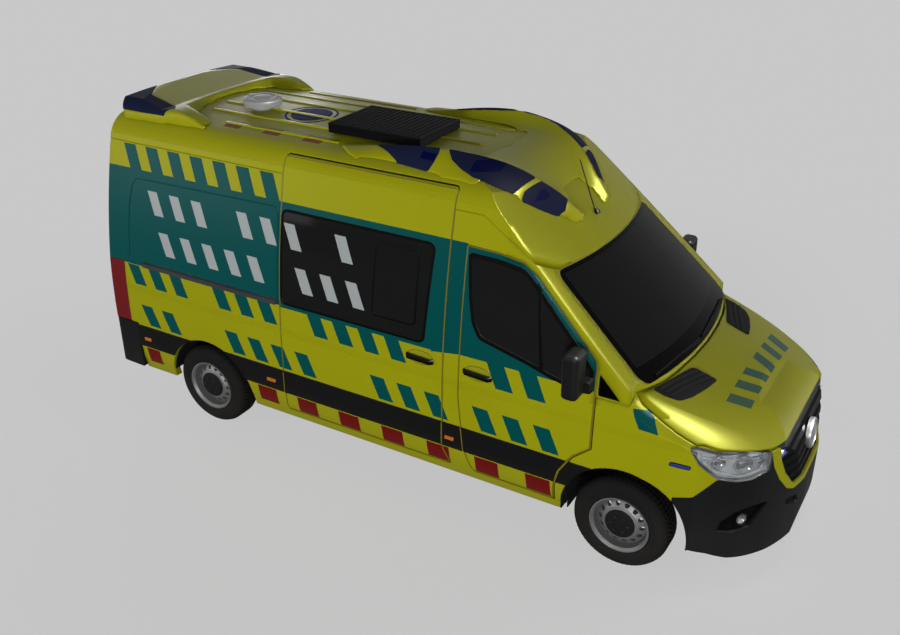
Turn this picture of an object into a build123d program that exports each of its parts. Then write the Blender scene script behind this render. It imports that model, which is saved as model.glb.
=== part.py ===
# A high-roof van ambulance, full size, built from its separate pieces.
#
# Frame: millimetres, +X to the nose, +Y to the vehicle's left, +Z up.
# The origin is on the ground, midway between the nose and the rear bumper and between the sides.
# "side" is -1 on the vehicle's right and +1 on its left.

import os
from math import cos, radians, sin

from build123d import *

os.makedirs("parts", exist_ok=True)

# ---------------------------------------------------------------- driving dimensions
overall_length = 5746
nose_x = overall_length / 2
tail_x = -overall_length / 2  # back of the rear bumper
rear_skin_x = tail_x + 80  # outer face of the rear doors
front_axle_x = 1855
rear_axle_x = -1810
hub_z = 348
mirror_half_width = 1172  # outer faces of the door mirrors
belt_half_width = 1000  # body sides below the belt line, without the rub strip
roof_z = 2545  # roof sheet on the centre line
seam_z = 2310  # joint between the side panels and the roof
sill_z = 322  # underside of the sills

wall = 60  # whole thickness of a side wall, roof or door
sheet = 28  # whole thickness of a wing, bonnet or bumper skin
door_gap = 9  # shut line round everything that opens
panel_gap = 2  # joint between two fixed panels
door_skin = 9  # outer panel of a door, which laps over its inner box
door_lap = 22

tyre_radius = 348
tyre_width = 235
tyre_mid_y = 857
wheel_rim_radius = 214
kingpin_y = 775

windscreen_foot_z = 1375
windscreen_foot_x = 2033
windscreen_run = 1.13  # how far the glass runs back for each unit of height
windscreen_plan_radius = 2800
pillar_corner_radius = 100  # rounding of the front pillars, between windscreen and door

far = 1400  # half width of any cutting block


def export(piece, name):
    piece.part.label = name
    export_step(piece.part, f"parts/{name}.step")


# ---------------------------------------------------------------- the body's outer form
# One cross-section runs the whole length. It is cut by the plan and the side view of the
# cab front, so every panel below is a piece of the same smooth skin.


def section_prism(inset):
    """The van's constant cross-section, drawn on one half and mirrored, swept along X."""
    y0 = -inset
    with BuildPart() as prism:
        with BuildSketch(Plane.YZ.offset(tail_x + 60 + inset)):
            with BuildLine():
                Polyline(
                    (0, 150),
                    (935 + y0, 150),
                    (960 + y0, sill_z),
                    (988 + y0, 450),
                    (belt_half_width + y0, 600),
                    (belt_half_width + y0, 900),
                    (992 + y0, 1130),
                )
                ThreePointArc((992 + y0, 1130), (930 + y0, 1720), (815 + y0, seam_z))
                ThreePointArc(
                    (815 + y0, seam_z), (762 + y0, 2428 - inset / 2), (640 + y0, 2497 - inset)
                )
                ThreePointArc(
                    (640 + y0, 2497 - inset), (320, 2533 - inset), (0, roof_z - inset)
                )
                Line((0, roof_z - inset), (0, 150))
            make_face()
            mirror(about=Plane.YZ)
        extrude(amount=overall_length)
    return prism.part


def cab_prism(inset):
    """Everything behind the windscreen: its curved plan swept back along the glass's slope."""
    back = inset * 1.5
    slope = Vector(-windscreen_run, 0, 1)
    base_z = 100
    foot_x = windscreen_foot_x - back + windscreen_run * (windscreen_foot_z - base_z)
    with BuildPart() as prism:
        with BuildSketch(Plane.XY.offset(base_z)):
            with BuildLine():
                ThreePointArc(
                    (foot_x, 0),
                    (foot_x - 550**2 / (2 * windscreen_plan_radius), 550),
                    (foot_x - 1100**2 / (2 * windscreen_plan_radius), 1100),
                )
                Polyline(
                    (foot_x - 1100**2 / (2 * windscreen_plan_radius), 1100),
                    (tail_x - 1000, 1100),
                    (tail_x - 1000, 0),
                    (foot_x, 0),
                )
            make_face()
            mirror(about=Plane.XZ)
        extrude(amount=(roof_z + 100) / slope.normalized().Z, dir=slope)
    return prism.part


def pillar_prism(inset, side):
    """Rounds one front pillar: a corner drawn in plan and swept up along the pillar's line."""
    foot = (1863 - 1.5 * inset, 976 - inset)
    along = Vector(-1.079, -0.156 * side, 1)
    base_z = 100
    drop = windscreen_foot_z - base_z
    corner_x = foot[0] - along.X * drop
    corner_y = foot[1] + 0.156 * drop
    with BuildPart() as prism:
        with BuildSketch(Plane.XY.offset(base_z)) as plan:
            with BuildLine():
                Polyline(
                    (corner_x + 0.32 * 4000, side * (corner_y - 4000)),
                    (corner_x, side * corner_y),
                    (corner_x - 9000, side * (corner_y + 1300)),
                    (corner_x - 9000, side * (corner_y - 4000)),
                    close=True,
                )
            make_face()
            fillet(
                plan.vertices().sort_by_distance((corner_x, side * corner_y, base_z))[0],
                pillar_corner_radius,
            )
        extrude(amount=(roof_z + 100) / along.normalized().Z, dir=along)
    return prism.part


def side_view_prism(inset):
    """The roof line: straight on from the windscreen, then one long arc into the level roof."""
    with BuildPart() as prism:
        with BuildSketch(Plane.XZ):
            with BuildLine():
                Polyline((rear_skin_x + inset, 100), (rear_skin_x + inset, 1300))
                Line((rear_skin_x + inset, 1300), (rear_skin_x + 60 + inset, roof_z + 10))
                Line((rear_skin_x + 60 + inset, roof_z + 10), (280, roof_z + 10))
                Line((280, roof_z + 10), (280, roof_z - inset))
                ThreePointArc(
                    (280, roof_z - inset),
                    (655 - inset, 2475 - inset),
                    (985 - inset * 1.5, 2303),
                )
                Line(
                    (985 - inset * 1.5, 2303),
                    (985 - inset * 1.5 + windscreen_run * 2203, 100),
                )
                Line((985 - inset * 1.5 + windscreen_run * 2203, 100), (rear_skin_x + inset, 100))
            make_face()
        extrude(amount=far, both=True)
    return prism.part


def nose_plan_prism(inset):
    """The nose seen from above: a flat front arc and a tighter arc round each corner."""
    x0 = nose_x + 7 - inset
    with BuildPart() as prism:
        with BuildSketch(Plane.XY):
            with BuildLine():
                ThreePointArc((x0, 0), (x0 - 60, 380), (x0 - 210, 690 - inset / 2))
                ThreePointArc(
                    (x0 - 210, 690 - inset / 2),
                    (x0 - 355, 850 - inset * 0.8),
                    (x0 - 550, 960 - inset),
                )
                Polyline(
                    (x0 - 550, 960 - inset),
                    (x0 - 900, 1002 - inset),
                    (0, 1002 - inset),
                    (0, 0),
                    (x0, 0),
                )
            make_face()
            mirror(about=Plane.XZ)
        extrude(amount=1700)
    return prism.part


def nose_side_prism(inset):
    """The nose seen from the side: near upright in front, rolling over on to the bonnet."""
    with BuildPart() as prism:
        with BuildSketch(Plane.XZ):
            with BuildLine():
                Polyline(
                    (0, 100),
                    (nose_x - 44 - inset, 100),
                    (nose_x - inset, 420),
                    (nose_x - inset, 560),
                    (nose_x - 40 - inset, 900),
                )
                ThreePointArc(
                    (nose_x - 40 - inset, 900),
                    (nose_x - 128 - inset, 1064 - inset / 2),
                    (nose_x - 340 - inset / 2, 1192 - inset),
                )
                Polyline(
                    (nose_x - 340 - inset / 2, 1192 - inset),
                    (nose_x - 500, 1290 - inset),
                    (nose_x - 500, 1700),
                    (0, 1700),
                    (0, 100),
                )
            make_face()
        extrude(amount=far, both=True)
    return prism.part


# The nose's top: one row for each section, behind the windscreen's foot to ahead of the grille.
# x, height on the centre line, half width and height of the shoulder, half width and height of the side
nose_top_sections = [
    (1560, 1526, 872, 1440, 1012, 1335),
    (2000, 1385, 834, 1316, 990, 1185),
    (2440, 1244, 700, 1172, 930, 1040),
    (2880, 1103, 310, 1005, 690, 800),
]


def nose_top(inset):
    """Everything under the bonnet: a crowned top whose shoulders draw together to the grille."""
    with BuildPart() as top:
        for x, centre_z, shoulder_y, shoulder_z, side_y, side_z in nose_top_sections:
            z = centre_z - inset
            y1 = shoulder_y - inset / 2
            z1 = shoulder_z - inset
            y2 = side_y - inset
            z2 = side_z - inset
            with BuildSketch(Plane.YZ.offset(x - inset / 3)):
                with BuildLine():
                    ThreePointArc((-y1, z1), (0, z), (y1, z1))
                    ThreePointArc((y1, z1), ((y1 + y2) / 2 + 12, (z1 + z2) / 2 + 16), (y2, z2))
                    Polyline(
                        (y2, z2),
                        (1100, z2 - 250),
                        (1100, 50),
                        (-1100, 50),
                        (-1100, z2 - 250),
                        (-y2, z2),
                    )
                    ThreePointArc((-y2, z2), (-(y1 + y2) / 2 - 12, (z1 + z2) / 2 + 16), (-y1, z1))
                make_face()
        loft()
    return top.part


def cab_form(inset):
    with BuildPart() as form:
        add(section_prism(inset))
        add(cab_prism(inset), mode=Mode.INTERSECT)
        add(side_view_prism(inset), mode=Mode.INTERSECT)
        for side in (-1, 1):
            add(pillar_prism(inset, side), mode=Mode.INTERSECT)
    return form.part


def nose_form(inset):
    with BuildPart() as form:
        add(section_prism(inset))
        add(nose_plan_prism(inset), mode=Mode.INTERSECT)
        add(nose_side_prism(inset), mode=Mode.INTERSECT)
        add(nose_top(inset), mode=Mode.INTERSECT)
    return form.part


# ---------------------------------------------------------------- cutting blocks


def side_block(points, corner=0, grow=0, side=0):
    """A block through the vehicle's side with a side-view outline; side 0 goes through both."""
    with BuildPart() as block:
        with BuildSketch(Plane.XZ) as face:
            with BuildLine():
                Polyline(*points, close=True)
            make_face()
            if corner:
                fillet(face.vertices(), corner)
            if grow:
                offset(amount=grow, kind=Kind.INTERSECTION)
        if side == 0:
            extrude(amount=far, both=True)
        else:
            extrude(amount=-side * far)
    return block.part


def front_block(points, x_low, x_high, corner=0, grow=0):
    """A block along X with an outline drawn in the front view."""
    with BuildPart() as block:
        with BuildSketch(Plane.YZ.offset(x_low)) as face:
            with BuildLine():
                Polyline(*points, close=True)
            make_face()
            if corner:
                fillet(face.vertices(), corner)
            if grow:
                offset(amount=grow, kind=Kind.INTERSECTION)
        extrude(amount=x_high - x_low)
    return block.part


def plan_block(points, z_low, z_high, corner=0):
    """A block along Z with an outline drawn from above."""
    with BuildPart() as block:
        with BuildSketch(Plane.XY.offset(z_low)) as face:
            with BuildLine():
                Polyline(*points, close=True)
            make_face()
            if corner:
                fillet(face.vertices(), corner)
        extrude(amount=z_high - z_low)
    return block.part


def mirrored(points):
    """The points given for the left half, and the same points on the right half."""
    return points + [(-y, z) for y, z in reversed(points)]


def half_space(side):
    """A block that holds the whole vehicle's right or left half."""
    with BuildPart() as block:
        with Locations((0, side * far / 2, 1400)):
            Box(2 * overall_length, far, 4000)
    return block.part


def arch_block(x, z, radius, y_low=500, y_high=far):
    """The wheel arches' two cylinders, one on each side."""
    with BuildPart() as block:
        for side in (-1, 1):
            with BuildSketch(Plane.XZ.offset(-side * y_low)):
                with Locations((x, z)):
                    Circle(radius)
            extrude(amount=-side * (y_high - y_low))
    return block.part


# ---------------------------------------------------------------- outlines in the side view
front_door_outline = [
    (605, 2104),
    (857, 2096),
    (1040, 2070),
    (1140, 2014),
    (1300, 1862),
    (1540, 1628),
    (1616, 1545),
    (1625, 1500),
    (1625, 905),
    (1500, 800),
    (1410, 655),
    (1374, 520),
    (1368, 388),
    (735, 388),
    (700, 440),
    (652, 566),
    (605, 1000),
]
front_door_window = [
    (632, 2048),
    (857, 2044),
    (1039, 2020),
    (1110, 1968),
    (1270, 1808),
    (1500, 1576),
    (1592, 1470),
    (1592, 1310),
    (1476, 1310),
    (1289, 1350),
    (1116, 1400),
    (929, 1442),
    (757, 1482),
    (700, 1580),
    (664, 1760),
]
quarter_window = [(1642, 1462), (1642, 1312), (1796, 1312)]
sliding_door_outline = [(-973, 2452), (487, 2452), (487, 520), (560, 388), (-973, 388)]
sliding_door_window = [(-955, 2058), (365, 2058), (318, 1334), (-955, 1334)]
side_wall_outline = [
    (rear_skin_x - 200, sill_z),
    (1430, sill_z),
    (1430, 386),
    (1200, 386),
    (1200, 1296),
    (2200, 1296),
    (2200, 2010),
    (1215, 2010),
    (700, seam_z),
    (rear_skin_x - 200, seam_z),
]
roof_outline = [
    (rear_skin_x - 200, seam_z + panel_gap),
    (700, seam_z + panel_gap),
    (1215, 2010 + panel_gap),
    (2200, 2010 + panel_gap),
    (2200, 2700),
    (rear_skin_x - 200, 2700),
]
bumper_corner_outline = [(tail_x - 100, 300), (-2548, 300), (-2548, 766), (tail_x - 100, 766)]
tail_lamp_outline = [(tail_x, 770), (-2624, 770), (-2624, 1318), (tail_x, 1318)]
rub_strip_z = (558, 755)

# front arch and rear arch: centre x, centre z, radius
front_arch = (1875, 360, 455)
rear_arch = (-1765, 345, 445)

# outlines in the front and rear views, given as (half width, height)
windscreen_outline = mirrored([(838, 1382), (768, 2006)])
rear_opening_outline = mirrored([(792, 566), (792, 1330), (706, 2340)])
rear_window_outline = [(110, 1450), (620, 1450), (585, 2060), (110, 2060)]

# the bonnet's front and side edge, above the lamps and the grille, seen from the side
bonnet_lower_edge = [
    (1700, 1352),
    (1853, 1352),
    (1920, 1297),
    (2044, 1236),
    (2176, 1171),
    (2302, 1119),
    (2334, 1119),
    (2430, 1091),
    (2538, 1071),
    (2700, 1039),
    (2756, 1045),
    (3000, 1045),
]
bonnet_upper_outline = bonnet_lower_edge + [(3000, 1700), (1700, 1700)]
bonnet_plan = [
    (1872, 866),
    (1915, 790),
    (1975, 648),
    (2008, 500),
    (2040, 250),
    (2052, 0),
]
bumper_upper_edge = [
    (2197, 712),
    (2321, 748),
    (2392, 827),
    (2449, 895),
    (2560, 905),
    (2600, 1300),
    (3000, 1300),
]
grille_outer = mirrored([(0, 628), (355, 628), (439, 671), (534, 789), (595, 906), (640, 1060)])
grille_inner = mirrored([(0, 661), (350, 668), (388, 698), (482, 815), (545, 950), (566, 1060)])
lower_intake = [(285, 545), (439, 582), (409, 506), (250, 463)]

# headlamp outline on an upright plane set across the right-hand corner: (along, height)
corner_angle = 45.6
headlamp_outline = [
    (-283, 1114),
    (-233, 1117),
    (-98, 1088),
    (53, 1068),
    (264, 1036),
    (270, 968),
    (266, 901),
    (129, 869),
    (23, 872),
    (-108, 902),
    (-225, 1003),
]
fog_recess = [(-75, 484), (-48, 569), (43, 633), (164, 655), (305, 647), (247, 576), (168, 483), (38, 464)]
fog_lamp_centre = (108, 551)
fog_lamp_radius = 43
corner_plane = Plane(
    origin=(2500, -800, 0),
    x_dir=(cos(radians(90 - corner_angle)), sin(radians(90 - corner_angle)), 0),
    z_dir=(sin(radians(90 - corner_angle)), -cos(radians(90 - corner_angle)), 0),
)

# ---------------------------------------------------------------- skins
outer = cab_form(0)
inner = cab_form(wall)
under_skin = cab_form(door_skin)
nose_outer = nose_form(0)
nose_inner = nose_form(sheet)

with BuildPart() as shell:
    add(outer)
    add(inner, mode=Mode.SUBTRACT)

with BuildPart() as skin:
    add(outer)
    add(under_skin, mode=Mode.SUBTRACT)

with BuildPart() as nose_shell:
    add(nose_outer)
    add(nose_inner, mode=Mode.SUBTRACT)
    with Locations((2350, 0, 1000)):
        Box(1980, 2 * far, 2000, mode=Mode.INTERSECT)

right_half = half_space(-1)
left_half = half_space(1)
halves = {-1: right_half, 1: left_half}
side_names = {-1: "right", 1: "left"}

arches = []
for x, z, radius in (front_arch, rear_arch):
    arches.append(arch_block(x, z, radius))

windscreen_block = front_block(windscreen_outline, 700, 2200, corner=60)
rear_block = front_block(rear_opening_outline, tail_x - 50, rear_skin_x + 250, corner=30)
front_door_block = side_block(front_door_outline, corner=14)
sliding_door_block = side_block(sliding_door_outline, corner=30)


def rub_strip(outline):
    """The raised rub strip along one stretch of side: a band inside the given outline."""
    low, high = rub_strip_z
    with BuildPart() as band:
        with Locations((0, 0, (low + high) / 2)):
            Box(2 * overall_length, 2 * belt_half_width + 20, high - low)
            Box(2 * overall_length, 2 * belt_half_width - 16, high - low, mode=Mode.SUBTRACT)
        add(side_block(outline), mode=Mode.INTERSECT)
        for arch in arches:
            add(arch, mode=Mode.SUBTRACT)
    return band.part


wall_strip = rub_strip([(-2546, 500), (1000, 500), (1000, 800), (-2546, 800)])
door_strip = rub_strip([(600, 500), (1700, 500), (1700, 800), (600, 800)])


def bonnet_plan_block(shift, z_high):
    """Everything ahead of the bonnet's curved rear edge."""
    rear_edge = [(bonnet_plan[0][0], 1100)] + bonnet_plan
    points = [(3000, -1100)] + [(x + shift, -y) for x, y in rear_edge]
    points += [(x + shift, y) for x, y in reversed(rear_edge[:-1])] + [(3000, 1100)]
    return plan_block(points, 900, z_high)


cowl_clear = bonnet_plan_block(-14, 1500)

# ---------------------------------------------------------------- side walls
for side in (-1, 1):
    with BuildPart() as side_wall:
        add(shell.part)
        add(side_block(side_wall_outline), mode=Mode.INTERSECT)
        add(wall_strip)
        add(halves[side], mode=Mode.INTERSECT)
        add(front_door_block, mode=Mode.SUBTRACT)
        add(rear_block, mode=Mode.SUBTRACT)
        add(windscreen_block, mode=Mode.SUBTRACT)
        for arch in arches:
            add(arch, mode=Mode.SUBTRACT)
        add(side_block(bumper_corner_outline, grow=panel_gap), mode=Mode.SUBTRACT)
        add(side_block(tail_lamp_outline, grow=panel_gap), mode=Mode.SUBTRACT)
        add(side_block(quarter_window), mode=Mode.SUBTRACT)
        add(cowl_clear, mode=Mode.SUBTRACT)
        if side == -1:
            add(sliding_door_block, mode=Mode.SUBTRACT)
        else:
            add(side_block(sliding_door_window, corner=55), mode=Mode.SUBTRACT)
    export(side_wall, f"side_wall_{side_names[side]}")

# ---------------------------------------------------------------- roof
with BuildPart() as roof:
    add(shell.part)
    add(side_block(roof_outline), mode=Mode.INTERSECT)
    add(windscreen_block, mode=Mode.SUBTRACT)
    add(rear_block, mode=Mode.SUBTRACT)
    add(side_block(sliding_door_outline, corner=30, side=-1), mode=Mode.SUBTRACT)
export(roof, "roof")

# ---------------------------------------------------------------- doors
# A door is an outer panel that laps over a thicker inner box, so its shut face is stepped.


def side_door(outline, corner, window, window_corner, side, strip):
    face = side_block(outline, corner=corner, grow=-door_gap, side=side)
    box = side_block(outline, corner=corner, grow=-door_gap - door_lap, side=side)
    light = side_block(window, corner=window_corner, side=side)
    with BuildPart() as door:
        add(shell.part)
        add(box, mode=Mode.INTERSECT)
    with BuildPart() as panel:
        add(skin.part)
        if strip:
            add(strip)
        add(face, mode=Mode.INTERSECT)
    with BuildPart() as whole:
        add(door.part)
        add(panel.part)
        add(light, mode=Mode.SUBTRACT)
    return whole


def pane(cutter):
    """A pane as thick as a door's outer panel and flush with it, which fills one window."""
    with BuildPart() as glass:
        add(skin.part)
        add(cutter, mode=Mode.INTERSECT)
    return glass


for side in (-1, 1):
    name = side_names[side]
    front_door = side_door(front_door_outline, 14, front_door_window, 30, side, door_strip)
    export(front_door, f"front_door_{name}")
    glass = pane(side_block(front_door_window, corner=30, side=side))
    export(glass, f"front_door_glass_{name}")

sliding_strip = rub_strip([(-980, 500), (560, 500), (560, 800), (-980, 800)])
sliding_door = side_door(
    sliding_door_outline, 30, sliding_door_window, 55, -1, sliding_strip
)
export(sliding_door, "sliding_door")

with BuildPart() as fixed_glass:
    add(pane(windscreen_block).part)
    add(pane(side_block(sliding_door_window, corner=55)).part)
    add(pane(side_block(quarter_window)).part)
export(fixed_glass, "fixed_glass")

for side in (-1, 1):
    name = side_names[side]
    inner_edge = 5
    leaf = [(inner_edge, 575), (784, 575), (784, 1330), (698, 2331), (inner_edge, 2331)]
    leaf_box = [
        (inner_edge + door_lap, 594),
        (764, 594),
        (764, 1330),
        (680, 2312),
        (inner_edge + door_lap, 2312),
    ]
    window = [(y * side, z) for y, z in rear_window_outline]
    window_block = front_block(window, tail_x, rear_skin_x + 200, corner=50)
    with BuildPart() as rear_box:
        add(shell.part)
        add(
            front_block([(y * side, z) for y, z in leaf_box], tail_x, rear_skin_x + 58),
            mode=Mode.INTERSECT,
        )
    with BuildPart() as rear_panel:
        add(skin.part)
        add(
            front_block([(y * side, z) for y, z in leaf], tail_x, rear_skin_x + 120, corner=24),
            mode=Mode.INTERSECT,
        )
    with BuildPart() as rear_door:
        add(rear_box.part)
        add(rear_panel.part)
        add(window_block, mode=Mode.SUBTRACT)
    export(rear_door, f"rear_door_{name}")
    rear_glass = pane(window_block)
    export(rear_glass, f"rear_door_glass_{name}")

# ---------------------------------------------------------------- nose
lamp_side = {}
for side in (-1, 1):
    with BuildPart() as lamp_block:
        with BuildSketch(corner_plane.offset(-500)) as lamp_face:
            with BuildLine():
                Polyline(*headlamp_outline, close=True)
            make_face()
            fillet(lamp_face.vertices(), 18)
        extrude(amount=900)
        if side == 1:
            mirror(about=Plane.XZ, mode=Mode.REPLACE)
    lamp_side[side] = lamp_block.part

with BuildPart() as both_lamps:
    add(lamp_side[-1])
    add(lamp_side[1])

with BuildPart() as headlamps:
    add(nose_shell.part)
    add(both_lamps.part, mode=Mode.INTERSECT)
export(headlamps, "headlamps")

# The skin of the nose is shared out between bonnet, wings, bumper and grille surround.
bonnet_block = side_block(bonnet_upper_outline)
bonnet_top = bonnet_plan_block(0, 1700)
bumper_bottom_edge = [(3000, 218), (2750, 225), (2558, 262), (2439, 311), (2335, 328), (2200, 332)]
bumper_block = side_block(bumper_upper_edge + bumper_bottom_edge)
grille_outer_block = front_block(grille_outer, 2600, 3000, corner=30)
grille_inner_block = front_block(grille_inner, 2600, 3000, corner=25)
lamp_void = {}
for side in (-1, 1):
    with BuildPart() as lamp_hole:
        with BuildSketch(corner_plane.offset(-500)) as hole_face:
            with BuildLine():
                Polyline(*headlamp_outline, close=True)
            make_face()
            fillet(hole_face.vertices(), 18)
            offset(amount=panel_gap)
        extrude(amount=900)
        if side == 1:
            mirror(about=Plane.XZ, mode=Mode.REPLACE)
    lamp_void[side] = lamp_hole.part

with BuildPart() as bonnet:
    add(nose_shell.part)
    add(side_block([(x, z + door_gap) for x, z in bonnet_lower_edge] + bonnet_upper_outline[-2:]),
        mode=Mode.INTERSECT)
    add(bonnet_top, mode=Mode.INTERSECT)
    for side in (-1, 1):
        add(lamp_void[side], mode=Mode.SUBTRACT)
export(bonnet, "bonnet")

wing_outline = [
    (1634, 905),
    (1634, 1294),
    (1860, 1294),
    (1860, 1360),
    (3000, 1360),
    (3000, 300),
    (1436, 322),
    (1436, 388),
    (1378, 388),
    (1380, 520),
    (1418, 652),
    (1506, 795),
]

with BuildPart() as pillar_feet:
    with Locations((1850, 0, 1396)):
        Box(700, 1790, 200)
    add(bonnet_plan_block(-12, 1500), mode=Mode.SUBTRACT)

wing_strip = rub_strip([(1380, 540), (1700, 540), (1700, 800), (1440, 800), (1380, 560)])

# the wings reach back under the doors' front corners as a single skin
with BuildPart() as wing_tails:
    add(skin.part)
    with Locations((1472, 0, 620)):
        Box(180, 2 * far, 560, mode=Mode.INTERSECT)

with BuildPart() as wings:
    add(nose_shell.part)
    add(wing_tails.part)
    add(wing_strip)
    add(side_block(wing_outline), mode=Mode.INTERSECT)
    add(pillar_feet.part, mode=Mode.SUBTRACT)
    add(bonnet_block, mode=Mode.SUBTRACT)
    add(front_door_block, mode=Mode.SUBTRACT)
    add(side_block(bumper_upper_edge + [(3000, 100), (2200, 100)], grow=panel_gap), mode=Mode.SUBTRACT)
    add(grille_outer_block, mode=Mode.SUBTRACT)
    add(arches[0], mode=Mode.SUBTRACT)
    for side in (-1, 1):
        add(lamp_void[side], mode=Mode.SUBTRACT)
export(wings, "front_wings")


def corner_pair(outline, low, high, grow=0):
    """A pair of blocks square to the front corners, with an outline drawn on the corner plane."""
    with BuildPart() as blocks:
        with BuildSketch(corner_plane.offset(low)) as face:
            with BuildLine():
                Polyline(*outline, close=True)
            make_face()
            fillet(face.vertices(), 14)
            if grow:
                offset(amount=grow)
        extrude(amount=high - low)
        mirror(about=Plane.XZ)
    return blocks.part


intakes = []
for half in (lower_intake, [(-y, z) for y, z in lower_intake]):
    intakes.append(front_block(half, 2600, 3000, corner=12))

with BuildPart() as front_bumper:
    add(nose_shell.part)
    add(corner_pair(fog_recess, -200, 300), mode=Mode.SUBTRACT)
    add(bumper_block, mode=Mode.INTERSECT)
    add(bonnet_block, mode=Mode.SUBTRACT)
    for intake in intakes:
        add(intake, mode=Mode.SUBTRACT)
    add(arches[0], mode=Mode.SUBTRACT)
    add(grille_outer_block, mode=Mode.SUBTRACT)
    for side in (-1, 1):
        add(lamp_void[side], mode=Mode.SUBTRACT)
export(front_bumper, "front_bumper")

with BuildPart() as grille_surround:
    add(nose_shell.part)
    add(grille_outer_block, mode=Mode.INTERSECT)
    add(grille_inner_block, mode=Mode.SUBTRACT)
    add(bonnet_block, mode=Mode.SUBTRACT)
    for side in (-1, 1):
        add(lamp_void[side], mode=Mode.SUBTRACT)
export(grille_surround, "grille_surround")

# ---------------------------------------------------------------- grille, badge and small lamps
grille_front = nose_form(20)
with BuildPart() as grille_grooves:
    for groove in range(5):
        with Locations((2780, 0, 690 + 75 * groove)):
            Box(500, 2 * far, 40)
    add(grille_front.moved(Location((-22, 0, 0))), mode=Mode.SUBTRACT)

with BuildPart() as grille:
    add(grille_front)
    add(nose_form(52), mode=Mode.SUBTRACT)
    add(front_block(grille_inner, 2600, 3000, corner=25, grow=-1), mode=Mode.INTERSECT)
    add(bonnet_block, mode=Mode.SUBTRACT)
    add(grille_grooves.part, mode=Mode.SUBTRACT)

badge_plane = Plane(origin=(2812, 0, 870), x_dir=(0, 1, 0), z_dir=(1, 0, 0.1))
with BuildPart() as grille_whole:
    add(grille.part)
    with BuildSketch(badge_plane):
        Circle(109)
    extrude(amount=100, mode=Mode.SUBTRACT)
export(grille_whole, "grille")

with BuildPart() as badge:
    with BuildSketch(badge_plane):
        Circle(108)
    extrude(amount=30)
    fillet(badge.faces().sort_by(Axis.X)[-1].edges(), 8)
export(badge, "badge_disc")

with BuildPart() as fog_bores:
    with BuildSketch(corner_plane.offset(-200)):
        with Locations(fog_lamp_centre):
            Circle(fog_lamp_radius + 1)
    extrude(amount=500)
    mirror(about=Plane.XZ)

with BuildPart() as fog_cores:
    with BuildSketch(corner_plane.offset(-200)):
        with Locations(fog_lamp_centre):
            Circle(fog_lamp_radius)
    extrude(amount=500)
    mirror(about=Plane.XZ)

with BuildPart() as insert_blocks:
    add(corner_pair(fog_recess, -200, 300, grow=-1))
    for intake in intakes:
        add(intake)

with BuildPart() as bumper_inserts:
    add(grille_front)
    add(nose_inner, mode=Mode.SUBTRACT)
    add(insert_blocks.part, mode=Mode.INTERSECT)
    add(fog_bores.part, mode=Mode.SUBTRACT)
export(bumper_inserts, "bumper_inserts")

with BuildPart() as fog_lamps:
    add(nose_form(12))
    add(nose_inner, mode=Mode.SUBTRACT)
    add(fog_cores.part, mode=Mode.INTERSECT)
export(fog_lamps, "fog_lamps")

# ---------------------------------------------------------------- tail
with BuildPart() as tail_lamps:
    add(shell.part)
    add(side_block(tail_lamp_outline), mode=Mode.INTERSECT)
    add(rear_block, mode=Mode.SUBTRACT)
export(tail_lamps, "tail_lamps")

with BuildPart() as rear_bumper:
    with BuildSketch(Plane.XY.offset(345)):
        with BuildLine():
            Polyline((-2548, 1010), (-2740, 1004))
            ThreePointArc((-2740, 1004), (-2818, 975), (-2850, 890))
            ThreePointArc((-2850, 890), (-2868, 450), (tail_x, 0))
            Polyline((tail_x, 0), (-2800, 0), (-2797, 880), (-2760, 940), (-2548, 950), (-2548, 1010))
        make_face()
        mirror(about=Plane.XZ)
    extrude(amount=420)
    with Locations((tail_x, 0, 552 + 200)):
        Box(600, 2 * 806, 400, mode=Mode.SUBTRACT)
export(rear_bumper, "rear_bumper")

# ---------------------------------------------------------------- floor and what hangs under it
load_floor_z = 640
stretcher_x = -900
stretcher_bolt_x = 1200
stretcher_bolt_y = 300
cab_floor_z = 500
with BuildPart() as floor_pan:
    with Locations((-1053, 0, load_floor_z - 20)):
        Box(3344, 1840, 40)
    with Locations((1130, 0, cab_floor_z)):
        Box(1040, 1840, 30)
    with Locations((606, 0, 562)):
        Box(24, 1840, 156)
    with Locations((1652, 0, 870)):
        Box(24, 1840, 770)
    with Locations((stretcher_x, 0, load_floor_z)):
        with GridLocations(stretcher_bolt_x, stretcher_bolt_y, 2, 2):
            Hole(5.5)
    for arch in arches:
        add(arch, mode=Mode.SUBTRACT)
export(floor_pan, "floor_pan")

liner_front_low_z = 326
liner_rear_low_z = 400
with BuildPart() as wheel_liners:
    for x, z, radius in (front_arch, rear_arch):
        for side in (-1, 1):
            with BuildSketch(Plane.XZ.offset(-side * 512)):
                with Locations((x, z)):
                    Circle(radius - 1)
            extrude(amount=-side * 455)
    for x, z, radius in (front_arch, rear_arch):
        for side in (-1, 1):
            with BuildSketch(Plane.XZ.offset(-side * 520)):
                with Locations((x, z)):
                    Circle(radius - 9)
            extrude(amount=-side * 500, mode=Mode.SUBTRACT)
    for x, low_z in ((front_axle_x, liner_front_low_z), (rear_axle_x, liner_rear_low_z)):
        with Locations((x, 0, 0)):
            Box(2000, 2 * far, 2 * low_z, mode=Mode.SUBTRACT)
export(wheel_liners, "wheel_liners")

rail_y = 400
with BuildPart() as chassis_frame:
    for side in (-1, 1):
        with Locations((-20, side * rail_y, 442)):
            Box(5360, 70, 76)
    for x in (-2620, -1200, 300, 1200, 2600):
        with Locations((x, 0, 440)):
            Box(80, 2 * rail_y, 60)
    with Locations((front_axle_x, 0, 380)):
        Box(260, 900, 60)
export(chassis_frame, "chassis_frame")

with BuildPart() as fuel_tank:
    with Locations((-450, 207, 392)):
        Box(1000, 290, 130)
    fillet(fuel_tank.edges(), 25)
export(fuel_tank, "fuel_tank")

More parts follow.
